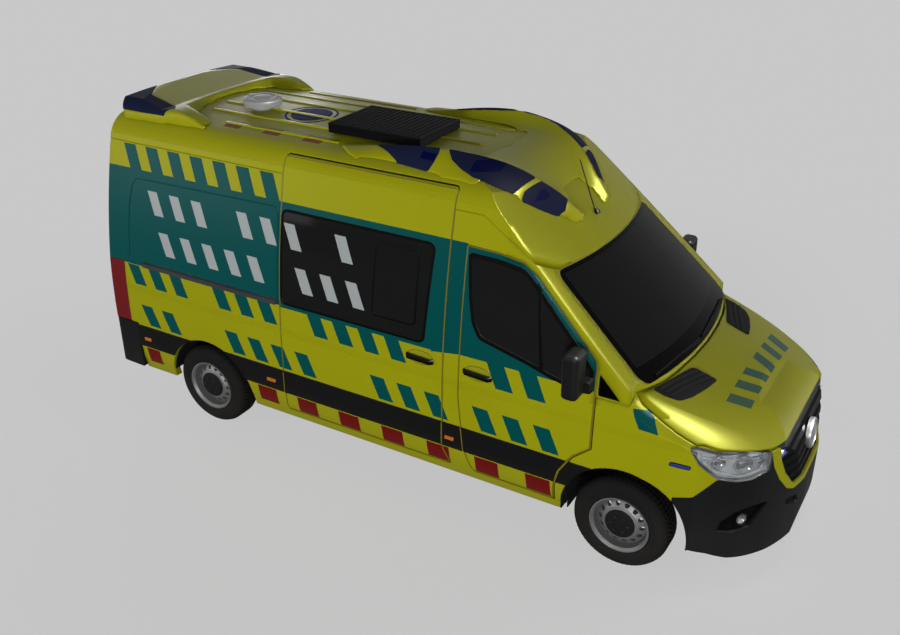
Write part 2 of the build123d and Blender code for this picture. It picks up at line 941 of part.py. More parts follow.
with BuildPart() as rear_axle:
    with BuildSketch(Plane.XZ.offset(-710)):
        with Locations((rear_axle_x, hub_z)):
            Circle(48)
    extrude(amount=1420)
    with BuildSketch(Plane.XZ.offset(-940)):
        with Locations((rear_axle_x, hub_z)):
            Circle(20)
    extrude(amount=1880)
    with Locations((rear_axle_x, 0, hub_z)):
        Sphere(135)
    for side in (-1, 1):
        with Locations((rear_axle_x, side * 560, 382)):
            Box(1200, 70, 12)
        with Locations((rear_axle_x, side * 560, 364)):
            Box(700, 70, 24)
export(rear_axle, "rear_axle")

with BuildPart() as propeller_shaft:
    with BuildSketch(Plane.YZ.offset(rear_axle_x + 140)):
        with Locations((0, 352)):
            Circle(38)
    extrude(amount=2500)
export(propeller_shaft, "propeller_shaft")

with BuildPart() as engine:
    with Locations((2080, 0, 780)):
        Box(720, 560, 560)
    fillet(engine.edges(), 20)
export(engine, "engine")

# ---------------------------------------------------------------- cab
with BuildPart() as bulkhead:
    add(outer)
    with Locations((560, 0, 1500)):
        Box(24, 2 * far, 3000, mode=Mode.INTERSECT)
    add(shell.part, mode=Mode.SUBTRACT)
    with Locations((560, 0, 322)):
        Box(100, 2 * far, 2 * 322, mode=Mode.SUBTRACT)
    with Locations((560, 0, 1750)):
        Box(100, 900, 420, mode=Mode.SUBTRACT)
export(bulkhead, "bulkhead")

with BuildPart() as cab_seats:
    for y in (-480, 480):
        with Locations((950, y, 646)):
            Box(420, 440, 260)
        with Locations((960, y, 830)):
            Box(520, 500, 110)
        with Locations((735, y, 1180)):
            Box(110, 480, 620)
        with Locations((735, y, 1580)):
            Box(90, 260, 170)
export(cab_seats, "cab_seats")

with BuildPart() as dashboard:
    with BuildSketch(Plane.XZ.offset(-860)):
        with BuildLine():
            Polyline((1636, 822), (1636, 1230), (1560, 1240), (1440, 1180), (1420, 1000), (1480, 822),
                     close=True)
        make_face()
    extrude(amount=1720)
    with BuildSketch(Plane(origin=(1250, 480, 1110), z_dir=(cos(radians(35)), 0, -sin(radians(35))))):
        Circle(26)
    extrude(amount=300)
    with BuildSketch(Plane(origin=(1240, 480, 1120), z_dir=(cos(radians(35)), 0, -sin(radians(35))))):
        Circle(190)
        Circle(160, mode=Mode.SUBTRACT)
        Rectangle(40, 340)
        Rectangle(340, 40)
    extrude(amount=26)
export(dashboard, "dashboard")

# ---------------------------------------------------------------- mirrors
mirror_centre_x = 1512
mirror_centre_z = 1490
for side in (-1, 1):
    with BuildPart() as mirror_unit:
        with Locations((mirror_centre_x, side * (mirror_half_width - 85), mirror_centre_z)):
            Box(115, 170, 325)
        fillet(mirror_unit.edges().filter_by(Axis.Z), 38)
        fillet(mirror_unit.faces().sort_by(Axis.Z)[-1].edges(), 36)
        fillet(mirror_unit.faces().sort_by(Axis.Z)[0].edges(), 28)
        with BuildSketch(Plane.XZ.offset(-side * 900)):
            with Locations((mirror_centre_x + 45, mirror_centre_z - 105)):
                RectangleRounded(105, 80, 25)
        extrude(amount=-side * 150)
    with BuildPart() as mirror_clear:
        add(mirror_unit.part)
        add(outer, mode=Mode.SUBTRACT)
    export(mirror_clear, f"door_mirror_{side_names[side]}")

# ---------------------------------------------------------------- on the roof
# The front fairings: one row for each section across both, from the rear tips to the noses.
# x, half width and height of the outer foot, of the crest and of the inner foot, height between them
front_fairing_sections = [
    (-700, 620, 2420, 500, 2490, 420, 2440, 2420),
    (-240, 704, 2400, 548, 2572, 430, 2470, 2440),
    (220, 726, 2390, 560, 2624, 420, 2520, 2496),
    (680, 770, 2380, 452, 2560, 290, 2520, 2508),
    (910, 640, 2220, 348, 2436, 200, 2385, 2372),
    (1180, 300, 1990, 205, 2190, 110, 2120, 2090),
]


def front_fairing_form(inset):
    """Both front fairings and the dip between them, from well under the roof skin upward."""
    with BuildPart() as form:
        for x, foot_y, foot_z, crest_y, crest_z, inner_y, inner_z, centre_z in front_fairing_sections:
            y0 = foot_y - inset
            y1 = crest_y - inset / 3
            z1 = crest_z - inset
            z2 = inner_z - inset
            with BuildSketch(Plane.YZ.offset(x)):
                with BuildLine():
                    for side in (-1, 1):
                        flank = (side * ((y0 + y1) / 2 + 26), (foot_z + z1) / 2 + 22)
                        slope = (side * (y1 + inner_y) / 2, (z1 + z2) / 2 - 6)
                        ThreePointArc((side * y0, foot_z), flank, (side * y1, z1))
                        ThreePointArc((side * y1, z1), slope, (side * inner_y, z2))
                    ThreePointArc((-inner_y, z2), (0, centre_z - inset), (inner_y, z2))
                    Polyline((-y0, foot_z), (-y0, 1900), (y0, 1900), (y0, foot_z))
                make_face()
        loft()
        with BuildSketch(Plane.XY.offset(1900)):
            with BuildLine():
                Polyline((-645, 0), (-645, 500))
                ThreePointArc((-645, 500), (-520, 650), (-300, 702))
                Line((-300, 702), (560, 726))
                ThreePointArc((560, 726), (780, 704), (900, 600))
                Line((900, 600), (1040, 446))
                ThreePointArc((1040, 446), (1150, 240), (1140, 100))
                ThreePointArc((1140, 100), (1100, 50), (1040, 0))
                Line((1040, 0), (-645, 0))
            make_face()
            mirror(about=Plane.XZ)
        extrude(amount=900, mode=Mode.INTERSECT)
        with BuildSketch(Plane.XZ):
            with BuildLine():
                Polyline((-700, 1900), (-700, 2480), (-560, 2560), (100, 2680), (900, 2680), (1040, 2420))
                ThreePointArc((1040, 2420), (1140, 2300), (1170, 2100))
                Polyline((1170, 2100), (1170, 1900), (-700, 1900))
            make_face()
        extrude(amount=far, both=True, mode=Mode.INTERSECT)
    return form.part


def rear_fairing_form(inset):
    """The cross-fairing over the rear doors, with an arm forward along each side."""
    with BuildPart() as form:
        with BuildSketch(Plane.XY.offset(2300)) as outline:
            with BuildLine():
                Polyline(
                    (-2714, 0),
                    (-2714, 600),
                    (-2660, 733),
                    (-1810, 695),
                    (-1765, 640),
                    (-1765, 0),
                    close=True,
                )
            make_face()
            fillet(outline.vertices().sort_by_distance((-2660, 733, 2300))[0], 60)
            fillet(outline.vertices().sort_by_distance((-1765, 640, 2300))[0], 30)
            fillet(outline.vertices().sort_by_distance((-1810, 695, 2300))[0], 40)
            offset(amount=-inset - 0.01)
            mirror(about=Plane.XZ)
        extrude(amount=500)
        with BuildSketch(Plane.XZ):
            with BuildLine():
                Polyline((-2725, 2300), (-2700, 2600 - inset))
                ThreePointArc((-2700, 2600 - inset), (-2682, 2634 - inset), (-2640, 2646 - inset))
                Line((-2640, 2646 - inset), (-2250, 2582 - inset))
                ThreePointArc((-2250, 2582 - inset), (-1900, 2540 - inset), (-1755, 2440 - inset))
                Polyline((-1755, 2440 - inset), (-1755, 2300), (-2725, 2300))
            make_face()
        extrude(amount=far, both=True, mode=Mode.INTERSECT)
        with BuildSketch(Plane.YZ.offset(-2800)):
            with BuildLine():
                Polyline((0, 2300), (742 - inset, 2300), (738 - inset, 2470))
                ThreePointArc((738 - inset, 2470), (712 - inset, 2560 - inset), (640, 2622 - inset))
                ThreePointArc((640, 2622 - inset), (320, 2642 - inset), (0, 2652 - inset))
                Line((0, 2652 - inset), (0, 2300))
            make_face()
            mirror(about=Plane.YZ)
        extrude(amount=1200, mode=Mode.INTERSECT)
        with BuildSketch(Plane.XY.offset(2474)):
            with BuildLine():
                Polyline(
                    (-1700, 0),
                    (-2100, 0),
                    (-2095, 250),
                    (-2050, 420),
                    (-1885, 500),
                    (-1794, 575),
                    (-1740, 640),
                    (-1700, 640),
                    close=True,
                )
            make_face()
            mirror(about=Plane.XZ)
        extrude(amount=180, taper=-48, mode=Mode.SUBTRACT)
    return form.part


# the blue lenses seen from above, on the left-hand side
lens_outlines = [
    [
        (-330, 540), (-60, 556), (215, 558), (230, 600), (222, 655), (199, 687), (-70, 659),
        (-126, 637), (-240, 585),
    ],
    [
        (283, 556), (430, 538), (577, 497), (748, 430), (862, 380), (838, 479), (820, 562),
        (806, 610), (698, 668), (546, 688), (444, 665), (345, 622),
    ],
    [
        (894, 366), (991, 305), (1052, 264), (1064, 330), (1031, 415), (944, 506), (858, 588),
        (852, 533), (870, 456),
    ],
    [
        (-2760, 306), (-2681, 306), (-2536, 519), (-2229, 566), (-2152, 640), (-2225, 720),
        (-2300, 790), (-2760, 790),
    ],
]
rear_lens_low_z = 2540
lens_thickness = 9

with BuildPart() as fairing_skin:
    add(front_fairing_form(0))
    add(rear_fairing_form(0))
    add(outer, mode=Mode.SUBTRACT)

with BuildPart() as lens_blocks:
    for outline in lens_outlines:
        low = rear_lens_low_z if outline[0][0] < rear_axle_x else 2000
        add(plan_block(outline, low, 2800, corner=8))
    mirror(about=Plane.XZ)

with BuildPart() as blue_lenses:
    add(fairing_skin.part)
    add(lens_blocks.part, mode=Mode.INTERSECT)
    add(front_fairing_form(lens_thickness), mode=Mode.SUBTRACT)
    add(rear_fairing_form(lens_thickness), mode=Mode.SUBTRACT)
export(blue_lenses, "blue_lenses")

with BuildPart() as light_fairings:
    add(fairing_skin.part)
    add(blue_lenses.part, mode=Mode.SUBTRACT)
export(light_fairings, "light_fairings")

with BuildPart() as roof_unit:
    with Locations((-430, -145, 2575)):
        Box(800, 560, 66)
    add(outer, mode=Mode.SUBTRACT)
export(roof_unit, "roof_unit")

with BuildPart() as roof_vent:
    with Locations((-1703, -131, 2545)):
        Cylinder(90, 60)
    with Locations((-1703, -131, 2600)):
        Cylinder(155, 55)
    fillet(roof_vent.faces().sort_by(Axis.Z)[-1].edges(), 24)
    add(outer, mode=Mode.SUBTRACT)
export(roof_vent, "roof_vent")

with BuildPart() as antenna:
    with BuildSketch(Plane(origin=(1160, 0, 2120), z_dir=(-0.36, 0, 0.93))):
        Circle(4)
    extrude(amount=420)
    add(outer, mode=Mode.SUBTRACT)
export(antenna, "antenna")

with BuildPart() as door_rail:
    with BuildSketch(Plane.YZ.offset(-2380)):
        with Locations((-990, 1340)):
            Rectangle(40, 34)
    extrude(amount=1390)
    add(outer, mode=Mode.SUBTRACT)
export(door_rail, "door_rail")

# ---------------------------------------------------------------- running gear
for side in (-1, 1):
    with BuildPart() as knuckle:
        with BuildSketch(Plane.XZ.offset(-side * 690)):
            with Locations((front_axle_x, hub_z)):
                Circle(60)
        extrude(amount=-side * 70)
        with BuildSketch(Plane.XZ.offset(-side * 690)):
            with Locations((front_axle_x, hub_z)):
                Circle(20)
        extrude(amount=-side * 250)
        with Locations((front_axle_x, side * 690, 430)):
            Box(50, 60, 260)
    export(knuckle, f"knuckle_{side_names[side]}")

hole_count = 14
for axle_name, axle_x in (("front", front_axle_x), ("rear", rear_axle_x)):
    for side in (-1, 1):
        name = f"{axle_name}_{side_names[side]}"
        hub_plane = Plane(origin=(axle_x, side * tyre_mid_y, hub_z), x_dir=(1, 0, 0),
                          z_dir=(0, side, 0))
        with BuildPart() as rim:
            with BuildSketch(Plane.XZ):
                with BuildLine():
                    Polyline((60, 50), (120, 52), (175, 20), (200, 20), (200, 95), (214, 108),
                             (214, 116), (206, 116), (190, 98), (190, 36), (160, 60), (128, 82),
                             (90, 92), (60, 94), (60, 50))
                make_face()
            revolve(axis=Axis.Z)
            with BuildSketch(Plane.XZ):
                with BuildLine():
                    Polyline((200, -110), (214, -110), (214, 108), (200, 95), (200, -110))
                make_face()
            revolve(axis=Axis.Z)
            with BuildSketch(Plane.XY.offset(-20)):
                with PolarLocations(151, hole_count):
                    Circle(17)
            extrude(amount=200, mode=Mode.SUBTRACT)
            with BuildSketch(Plane.XY.offset(40)):
                Circle(75)
                Circle(20.05, mode=Mode.SUBTRACT)
            extrude(amount=50)
            with BuildSketch(Plane.XY.offset(86)):
                Circle(70)
            extrude(amount=12)
        placed = hub_plane.location * rim.part
        placed.label = f"wheel_{name}"
        export_step(placed, f"parts/wheel_{name}.step")
        with BuildPart() as tyre:
            with BuildSketch(Plane.XZ):
                with BuildLine():
                    Polyline((214, -104), (214, 104))
                    ThreePointArc((214, 104), (275, 117), (325, 100))
                    ThreePointArc((325, 100), (341, 88), (tyre_radius, 68))
                    Line((tyre_radius, 68), (tyre_radius, -68))
                    ThreePointArc((tyre_radius, -68), (341, -88), (325, -100))
                    ThreePointArc((325, -100), (275, -117), (214, -104))
                make_face()
            revolve(axis=Axis.Z)
        placed = hub_plane.location * tyre.part
        placed.label = f"tyre_{name}"
        export_step(placed, f"parts/tyre_{name}.step")
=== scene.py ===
# %% [markdown]
# # A high-roof van ambulance, dressed
# The construction arrives from the frame in metres: +X to the nose, +Y to the vehicle's left, +Z up.
# This file adds what a fabricator and a paint shop add: finishes, stripes, seals, lamps, trim and tread.
# Each step says what the piece is on the real vehicle, how it could be made, and why it is made this way.

# %% Load the frame
from math import cos, pi, radians, sin

import bmesh
import bpy
from mathutils import Matrix, Vector
from mathutils.bvhtree import BVHTree


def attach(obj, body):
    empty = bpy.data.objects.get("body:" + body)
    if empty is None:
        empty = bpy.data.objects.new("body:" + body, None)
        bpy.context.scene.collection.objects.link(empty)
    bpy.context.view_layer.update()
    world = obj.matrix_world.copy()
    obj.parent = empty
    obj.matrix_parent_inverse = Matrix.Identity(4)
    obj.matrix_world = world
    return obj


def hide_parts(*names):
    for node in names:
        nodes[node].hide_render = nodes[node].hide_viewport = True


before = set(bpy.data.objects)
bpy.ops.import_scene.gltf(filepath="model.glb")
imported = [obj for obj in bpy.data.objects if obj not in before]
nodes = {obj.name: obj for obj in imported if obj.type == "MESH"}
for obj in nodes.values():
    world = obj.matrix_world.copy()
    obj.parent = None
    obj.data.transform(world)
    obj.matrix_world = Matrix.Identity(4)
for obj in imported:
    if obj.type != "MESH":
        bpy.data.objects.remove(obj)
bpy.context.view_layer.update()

# %% [markdown]
# ## Camera, light and floor
# The camera stands ahead of the vehicle's right front corner and looks down on it.
# Soft lamps and a grey world give plain studio light, in which a colour renders about as it is written.
# The floor and the world are pale grey only for the camera and for reflections, so they add no light.

# %% Camera
camera_data = bpy.data.cameras.new("camera")
camera_data.sensor_width = 36
camera_data.lens = 40.3
camera = bpy.data.objects.new("camera", camera_data)
camera.location = (3.659, -6.236, 4.688)
camera_heading = 30.69
camera_drop = 26.85
camera_roll = -0.18
camera.rotation_euler = (
    Matrix.Rotation(radians(camera_heading), 4, "Z")
    @ Matrix.Rotation(radians(90 - camera_drop), 4, "X")
    @ Matrix.Rotation(radians(camera_roll), 4, "Z")
).to_euler()
scene = bpy.context.scene
scene.collection.objects.link(camera)
scene.camera = camera
scene.view_settings.view_transform = "Standard"

# %% A helper that adds one shader node
def put(tree, kind, links=None, **settings):
    """Add a node, set its options, and fill its inputs with values or with other nodes' outputs."""
    made = tree.nodes.new(kind)
    for key, value in settings.items():
        setattr(made, key, value)
    for key, value in (links or {}).items():
        if isinstance(value, bpy.types.NodeSocket):
            tree.links.new(value, made.inputs[key])
        else:
            made.inputs[key].default_value = value
    return made


def blend(tree, factor, a, b):
    """A mix of two colours."""
    return put(tree, "ShaderNodeMix", {0: factor, 6: a, 7: b}, data_type="RGBA").outputs[2]


def calc(tree, operation, a, b=0.0, c=0.0):
    """One Math node, given as an operation and up to three numbers or outputs."""
    return put(tree, "ShaderNodeMath", {0: a, 1: b, 2: c}, operation=operation).outputs[0]


def ramp(tree, value, low, high, at_low=0.0, at_high=1.0, shape="LINEAR"):
    """A value that runs from one number to another while the input runs from low to high."""
    limits = {0: value, 1: low, 2: high, 3: at_low, 4: at_high}
    return put(tree, "ShaderNodeMapRange", limits, interpolation_type=shape).outputs[0]


def noise(tree, where, scale, detail):
    """The grey value of a noise pattern."""
    return put(tree, "ShaderNodeTexNoise", {"Vector": where, "Scale": scale, "Detail": detail}).outputs[0]


def object_place(tree):
    """Object coordinates, in metres."""
    return put(tree, "ShaderNodeTexCoord").outputs["Object"]


def surface(tree, shader):
    """Hand a shader to the material's output."""
    put(tree, "ShaderNodeOutputMaterial", {"Surface": shader.outputs[0]})


def new_material(name):
    """An empty node material and its tree."""
    made = bpy.data.materials.new(name)
    made.use_nodes = True
    made.node_tree.nodes.clear()
    return made, made.node_tree


# %% World and lamps
backdrop_colour = (0.58, 0.58, 0.58, 1)
world = bpy.data.worlds.new("studio")
scene.world = world
world.use_nodes = True
sky = world.node_tree
sky.nodes.clear()
path = put(sky, "ShaderNodeLightPath")
seen = calc(sky, "ADD", path.outputs["Is Camera Ray"], path.outputs["Is Glossy Ray"])
seen = calc(sky, "MINIMUM", calc(sky, "ADD", seen, path.outputs["Is Transmission Ray"]), 1.0)
aim = put(sky, "ShaderNodeTexCoord").outputs["Generated"]
height = put(sky, "ShaderNodeSeparateXYZ", {0: aim}).outputs["Z"]
fall = ramp(sky, height, 0.0, 0.8, 0.44, 0.06)
room = put(sky, "ShaderNodeBackground", {"Color": (0.62, 0.63, 0.66, 1), "Strength": fall})
backdrop = put(sky, "ShaderNodeBackground", {"Color": backdrop_colour, "Strength": 1.0})
choice = put(sky, "ShaderNodeMixShader", {0: seen, 1: room.outputs[0], 2: backdrop.outputs[0]})
put(sky, "ShaderNodeOutputWorld", {"Surface": choice.outputs[0]})


def lamp(name, place, target, size, power):
    """A square soft lamp, turned to face a target."""
    data = bpy.data.lights.new(name, "AREA")
    data.size = size
    data.energy = power
    light = bpy.data.objects.new(name, data)
    light.location = place
    light.rotation_euler = (Vector(target) - Vector(place)).to_track_quat("-Z", "Y").to_euler()
    scene.collection.objects.link(light)
    return light


lamp("key_lamp", (7, -17, 3.6), (0, 0, 1), 3.5, 1500)
lamp("fill_lamp", (-9, -9, 3.0), (0, 0, 1), 4, 260)
lamp("front_lamp", (10, 6.5, 3.0), (0, 0, 1), 4, 420)
lamp("back_lamp", (-9, 7, 2.6), (0, 0, 1), 4, 300)
sheen_lamp = lamp("sheen_lamp", (7.0, -0.8, 11), (1.5, -0.8, 1.2), 1.6, 9000)
sheen_lamp.visible_diffuse = False

# %% Floor
floor_paint, tree = new_material("pale_floor")
path = put(tree, "ShaderNodeLightPath")
away = put(tree, "ShaderNodeVectorMath", {0: object_place(tree)}, operation="LENGTH").outputs["Value"]
far = ramp(tree, away, 3.4, 7.0, shape="SMOOTHSTEP")
matt = put(tree, "ShaderNodeBsdfDiffuse", {"Color": (0.40, 0.40, 0.40, 1)})
soft = put(tree, "ShaderNodeBsdfDiffuse", {"Color": (0.20, 0.20, 0.20, 1)})
pale = put(tree, "ShaderNodeEmission", {"Color": backdrop_colour, "Strength": 0.86})
near = put(tree, "ShaderNodeAddShader", {0: soft.outputs[0], 1: pale.outputs[0]})
plain = put(tree, "ShaderNodeEmission", {"Color": backdrop_colour, "Strength": 1.0})
shown = put(tree, "ShaderNodeMixShader", {0: far, 1: near.outputs[0], 2: plain.outputs[0]})
seen = path.outputs["Is Camera Ray"]
surface(tree, put(tree, "ShaderNodeMixShader", {0: seen, 1: matt.outputs[0], 2: shown.outputs[0]}))
floor_mesh = bpy.data.meshes.new("floor")
floor_mesh.from_pydata([(-30, -30, 0), (30, -30, 0), (30, 30, 0), (-30, 30, 0)], [], [(0, 1, 2, 3)])
floor_mesh.materials.append(floor_paint)
floor = bpy.data.objects.new("floor", floor_mesh)
scene.collection.objects.link(floor)
print("camera", [round(v, 3) for v in camera.location])

# %% [markdown]
# ## Plain finishes
# Plastic, rubber, cloth, cast metal and paint on metal all break up the light in the same ways, only by
# different amounts: a fine grain that catches the light, slow drifts of colour and gloss, and dust low
# down on the body. One function builds them all from Object coordinates, so a pattern keeps its real size
# in metres on every piece.

# %% Surface finish
road_dust = (0.13, 0.115, 0.09, 1)


def finish(
    name, colour, roughness, metallic=0.0, grain=420.0, relief=0.12, drift=0.10, dust=0.0, coat=0.0,
    shine=0.35,
):
    """A procedural finish: colour drift, roughness drift, fine grain as bump, and dust near the road."""
    made, tree = new_material(name)
    where = object_place(tree)
    slow = noise(tree, where, 4.0, 4.0)
    fine = noise(tree, where, grain, 3.0)
    low = [c * (1 - drift) for c in colour] + [1]
    high = [min(1, c * (1 + drift)) for c in colour] + [1]
    paint = blend(tree, slow, low, high)
    if dust:
        height = put(tree, "ShaderNodeSeparateXYZ", {0: where}).outputs["Z"]
        fade = ramp(tree, height, 0.75, 0.10, 0.0, dust)
        patchy = calc(tree, "MULTIPLY", fade, calc(tree, "ADD", slow, 0.25))
        paint = blend(tree, patchy, paint, road_dust)
    gloss = ramp(tree, slow, 0.0, 1.0, roughness * 0.85, min(1, roughness * 1.15))
    bump = put(tree, "ShaderNodeBump", {"Strength": relief, "Distance": 0.0006, "Height": fine}).outputs[0]
    shader = put(tree, "ShaderNodeBsdfPrincipled", {"Base Color": paint, "Roughness": gloss, "Normal": bump})
    shader.inputs["Metallic"].default_value = metallic
    shader.inputs["Coat Weight"].default_value = coat
    shader.inputs["Coat Roughness"].default_value = 0.06
    shader.inputs["Specular IOR Level"].default_value = shine
    surface(tree, shader)
    return made


black_plastic = finish(
    "black_plastic", (0.008, 0.0082, 0.009), 0.46, grain=700, relief=0.25, dust=0.12, shine=0.14
)
trim_black = finish("trim_black", (0.002, 0.002, 0.0022), 0.40, grain=900, relief=0.08, shine=0.08)
seal_rubber = finish("seal_rubber", (0.001, 0.001, 0.001), 0.62, grain=500, relief=0.15, shine=0.06)
tyre_rubber = finish("tyre_rubber", (0.008, 0.008, 0.008), 0.80, grain=300, relief=0.4, dust=0.12, shine=0.12)
wheel_silver = finish(
    "wheel_silver", (0.26, 0.262, 0.265), 0.48, metallic=0.55, grain=500, relief=0.06, dust=0.25
)
hub_black = finish("hub_black", (0.012, 0.012, 0.0125), 0.50, grain=600, relief=0.15, shine=0.15)
bolt_steel = finish("bolt_steel", (0.035, 0.035, 0.037), 0.45, metallic=0.5, grain=600, relief=0.1)
chassis_black = finish("chassis_black", (0.016, 0.016, 0.017), 0.55, grain=160, relief=0.35, dust=0.45)
engine_iron = finish("engine_iron", (0.11, 0.11, 0.115), 0.58, metallic=0.8, grain=130, relief=0.6)
floor_grey = finish("floor_grey", (0.10, 0.105, 0.11), 0.55, grain=240, relief=0.35)
rail_grey = finish("rail_grey", (0.085, 0.087, 0.092), 0.38, metallic=0.6, grain=500, relief=0.08)
vent_grey = finish("vent_grey", (0.36, 0.36, 0.36), 0.5, grain=300, relief=0.12)
badge_silver = finish("badge_silver", (0.50, 0.505, 0.51), 0.32, metallic=0.85, grain=900, relief=0.03)
mirror_silver = finish(
    "mirror_silver", (0.62, 0.63, 0.64), 0.12, metallic=0.9, grain=900, relief=0.0, drift=0.02
)
lamp_silver = finish("lamp_silver", (0.72, 0.73, 0.74), 0.30, metallic=0.25, grain=200, relief=0.05)
slat_black = finish("slat_black", (0.009, 0.009, 0.0095), 0.75, grain=500, relief=0.15, shine=0.04)
matt_black = finish("matt_black", (0.005, 0.005, 0.0055), 0.85, grain=500, relief=0.15, shine=0.04)
orange_lens = finish("orange_lens", (0.62, 0.17, 0.008), 0.22, grain=300, relief=0.2, coat=0.6)
blue_lamp_lens = finish("blue_lamp_lens", (0.006, 0.035, 0.30), 0.18, grain=300, relief=0.2, coat=0.7)
emblem_blue = finish("emblem_blue", (0.002, 0.006, 0.10), 0.60, grain=400, relief=0.05, shine=0.05)
plate_white = finish("plate_white", (0.52, 0.52, 0.50), 0.38, grain=400, relief=0.05)
print("plain finishes", len(bpy.data.materials))

# %% [markdown]
# ## The paint and its stripes
# The body is sprayed one yellow, and the reflective stripes are film, cut to rows of slanted bars. Rows
# could be drawn as thin plates, but film lies flush, so here they are masks in the paint itself. A node
# group turns a row's start, pitch and lean into a mask, and a second group tests one edge of a panel.

# %% Node group: a row of slanted bars
def new_group(name, inputs, outputs):
    group = bpy.data.node_groups.new(name, "ShaderNodeTree")
    for label in inputs:
        group.interface.new_socket(name=label, in_out="INPUT", socket_type="NodeSocketFloat")
    for label in outputs:
        group.interface.new_socket(name=label, in_out="OUTPUT", socket_type="NodeSocketFloat")
    return group, group.nodes.new("NodeGroupInput").outputs


bar_row, given = new_group(
    "bar_row", ["Along", "Up", "Start", "Pitch", "Width", "Count", "Low", "High", "Lean"], ["Mask"]
)
drop = calc(bar_row, "SUBTRACT", given["High"], given["Up"])
from_start = calc(bar_row, "SUBTRACT", given["Along"], given["Start"])
straight = calc(bar_row, "SUBTRACT", from_start, calc(bar_row, "MULTIPLY", drop, given["Lean"]))
turns = calc(bar_row, "DIVIDE", straight, given["Pitch"])
share = calc(bar_row, "DIVIDE", given["Width"], given["Pitch"])
inside_bar = calc(bar_row, "LESS_THAN", calc(bar_row, "FRACT", turns), share)
after_first = calc(bar_row, "GREATER_THAN", turns, 0.0)
before_last = calc(bar_row, "LESS_THAN", turns, given["Count"])
below_top = calc(bar_row, "GREATER_THAN", drop, 0.0)
above_foot = calc(bar_row, "GREATER_THAN", given["Up"], given["Low"])
mask = inside_bar
for test in (after_first, before_last, below_top, above_foot):
    mask = calc(bar_row, "MULTIPLY", mask, test)
put(bar_row, "NodeGroupOutput", {0: mask})

# %% Node group: one side of a straight edge
edge_side, given = new_group("edge_side", ["Along", "Up", "A", "B", "C"], ["Mask"])
total = calc(edge_side, "MULTIPLY_ADD", given["Along"], given["A"], given["C"])
total = calc(edge_side, "MULTIPLY_ADD", given["Up"], given["B"], total)
put(edge_side, "NodeGroupOutput", {0: calc(edge_side, "GREATER_THAN", total, 0.0)})


# %% Masks from tables
def axes(tree, where):
    """The x, y and z of a place, and its distance from the middle plane."""
    split = put(tree, "ShaderNodeSeparateXYZ", {0: where}).outputs
    return split["X"], split["Y"], split["Z"], calc(tree, "ABSOLUTE", split["Y"])


def any_of(tree, masks):
    """One where at least one of the masks is one."""
    total = masks[0]
    for found in masks[1:]:
        total = calc(tree, "MAXIMUM", total, found)
    return total


def add_rows(tree, along, up, rows):
    """The bars of several rows: start, pitch, width, count, low and high edges, in millimetres, and lean."""
    masks = []
    for start, pitch, width, count, low, high, lean in rows:
        values = {"Along": along, "Up": up, "Count": count, "Lean": lean}
        values.update({"Start": start / 1000, "Pitch": pitch / 1000, "Width": width / 1000})
        values.update({"Low": low / 1000, "High": high / 1000})
        masks.append(put(tree, "ShaderNodeGroup", values, node_tree=bar_row).outputs[0])
    return any_of(tree, masks)


def panel_mask(tree, along, up, corners):
    """Inside a convex panel whose corners, in millimetres, run anticlockwise."""
    total = None
    for (x0, z0), (x1, z1) in zip(corners, corners[1:] + corners[:1]):
        a = (z0 - z1) / 1000
        b = (x1 - x0) / 1000
        c = -(a * x0 + b * z0) / 1000
        values = {"Along": along, "Up": up, "A": a, "B": b, "C": c}
        found = put(tree, "ShaderNodeGroup", values, node_tree=edge_side).outputs[0]
        total = found if total is None else calc(tree, "MULTIPLY", total, found)
    return total


def band(tree, value, low, high):
    """One where the value lies between two limits in metres."""
    above = calc(tree, "GREATER_THAN", value, low)
    return calc(tree, "MULTIPLY", above, calc(tree, "LESS_THAN", value, high))


def over(tree, under, mask, colour):
    """Lay a film of one colour over the paint where the mask is one."""
    return blend(tree, mask, under, (*colour, 1))


# %% Stripe tables, in millimetres, side view
# start of the first bar's top, pitch, width, count, low edge, high edge, lean
teal_rows = [
    (-2593, 234, 127, 7, 2107, 2300, 0.414),
    (-2583, 231, 127, 3, 1140, 1308, 0.44),
    (-1659, 231, 127, 3, 1140, 1308, 0.44),
    (-713, 231, 127, 4, 1140, 1308, 0.44),
    (-2477, 234, 125, 2, 775, 957, 0.44),
    (-1553, 236, 125, 4, 775, 957, 0.44),
    (-142, 235, 125, 3, 775, 957, 0.44),
    (723, 238, 125, 3, 775, 957, 0.44),
]
door_row = (823, 245, 136, 2, 1147, 1332, 0.44)
silver_rows = [
    (-2324, 231, 99, 3, 1775, 1963, 0.41),
    (-1400, 231, 99, 3, 1775, 1963, 0.41),
    (-476, 231, 99, 1, 1775, 1963, 0.41),
    (-2213, 231, 99, 5, 1456, 1643, 0.42),
    (-827, 231, 99, 3, 1456, 1643, 0.42),
]
red_rows = [
    (-2493, 300, 150, 1, 400, 540, 0.09),
    (-1259, 400, 190, 5, 400, 540, 0.09),
    (744, 407, 190, 2, 400, 540, 0.09),
]
rear_teal_panel = [(-2900, 1313), (-974, 1313), (-974, 2112), (-2900, 2112)]
door_teal_panel = [(-974, 1300), (380, 1300), (380, 2112), (-974, 2112)]
front_teal_panel = [(380, 1290), (612, 1324), (612, 2112), (380, 2112)]
door_panel = [(600, 1324), (1640, 1330), (1640, 1700), (1150, 2140), (600, 2140)]
wing_bar = [(1938, 1158), (2069, 1155), (2015, 1249), (1967, 1276), (1877, 1279)]

# %% Body paint
yellow = (0.40, 0.402, 0.006)
teal = (0.0005, 0.082, 0.080)
silver_film = (0.42, 0.45, 0.45)
red_film = (0.175, 0.002, 0.004)
strip_black = (0.009, 0.009, 0.0095)
lining_grey = (0.16, 0.162, 0.165)
paint_roughness = 0.34
crease_z = 1.123
strip_z = (0.550, 0.760)
strip_out = 1.0022
corner_softness = 0.045
side_panels = (rear_teal_panel, door_teal_panel, front_teal_panel)


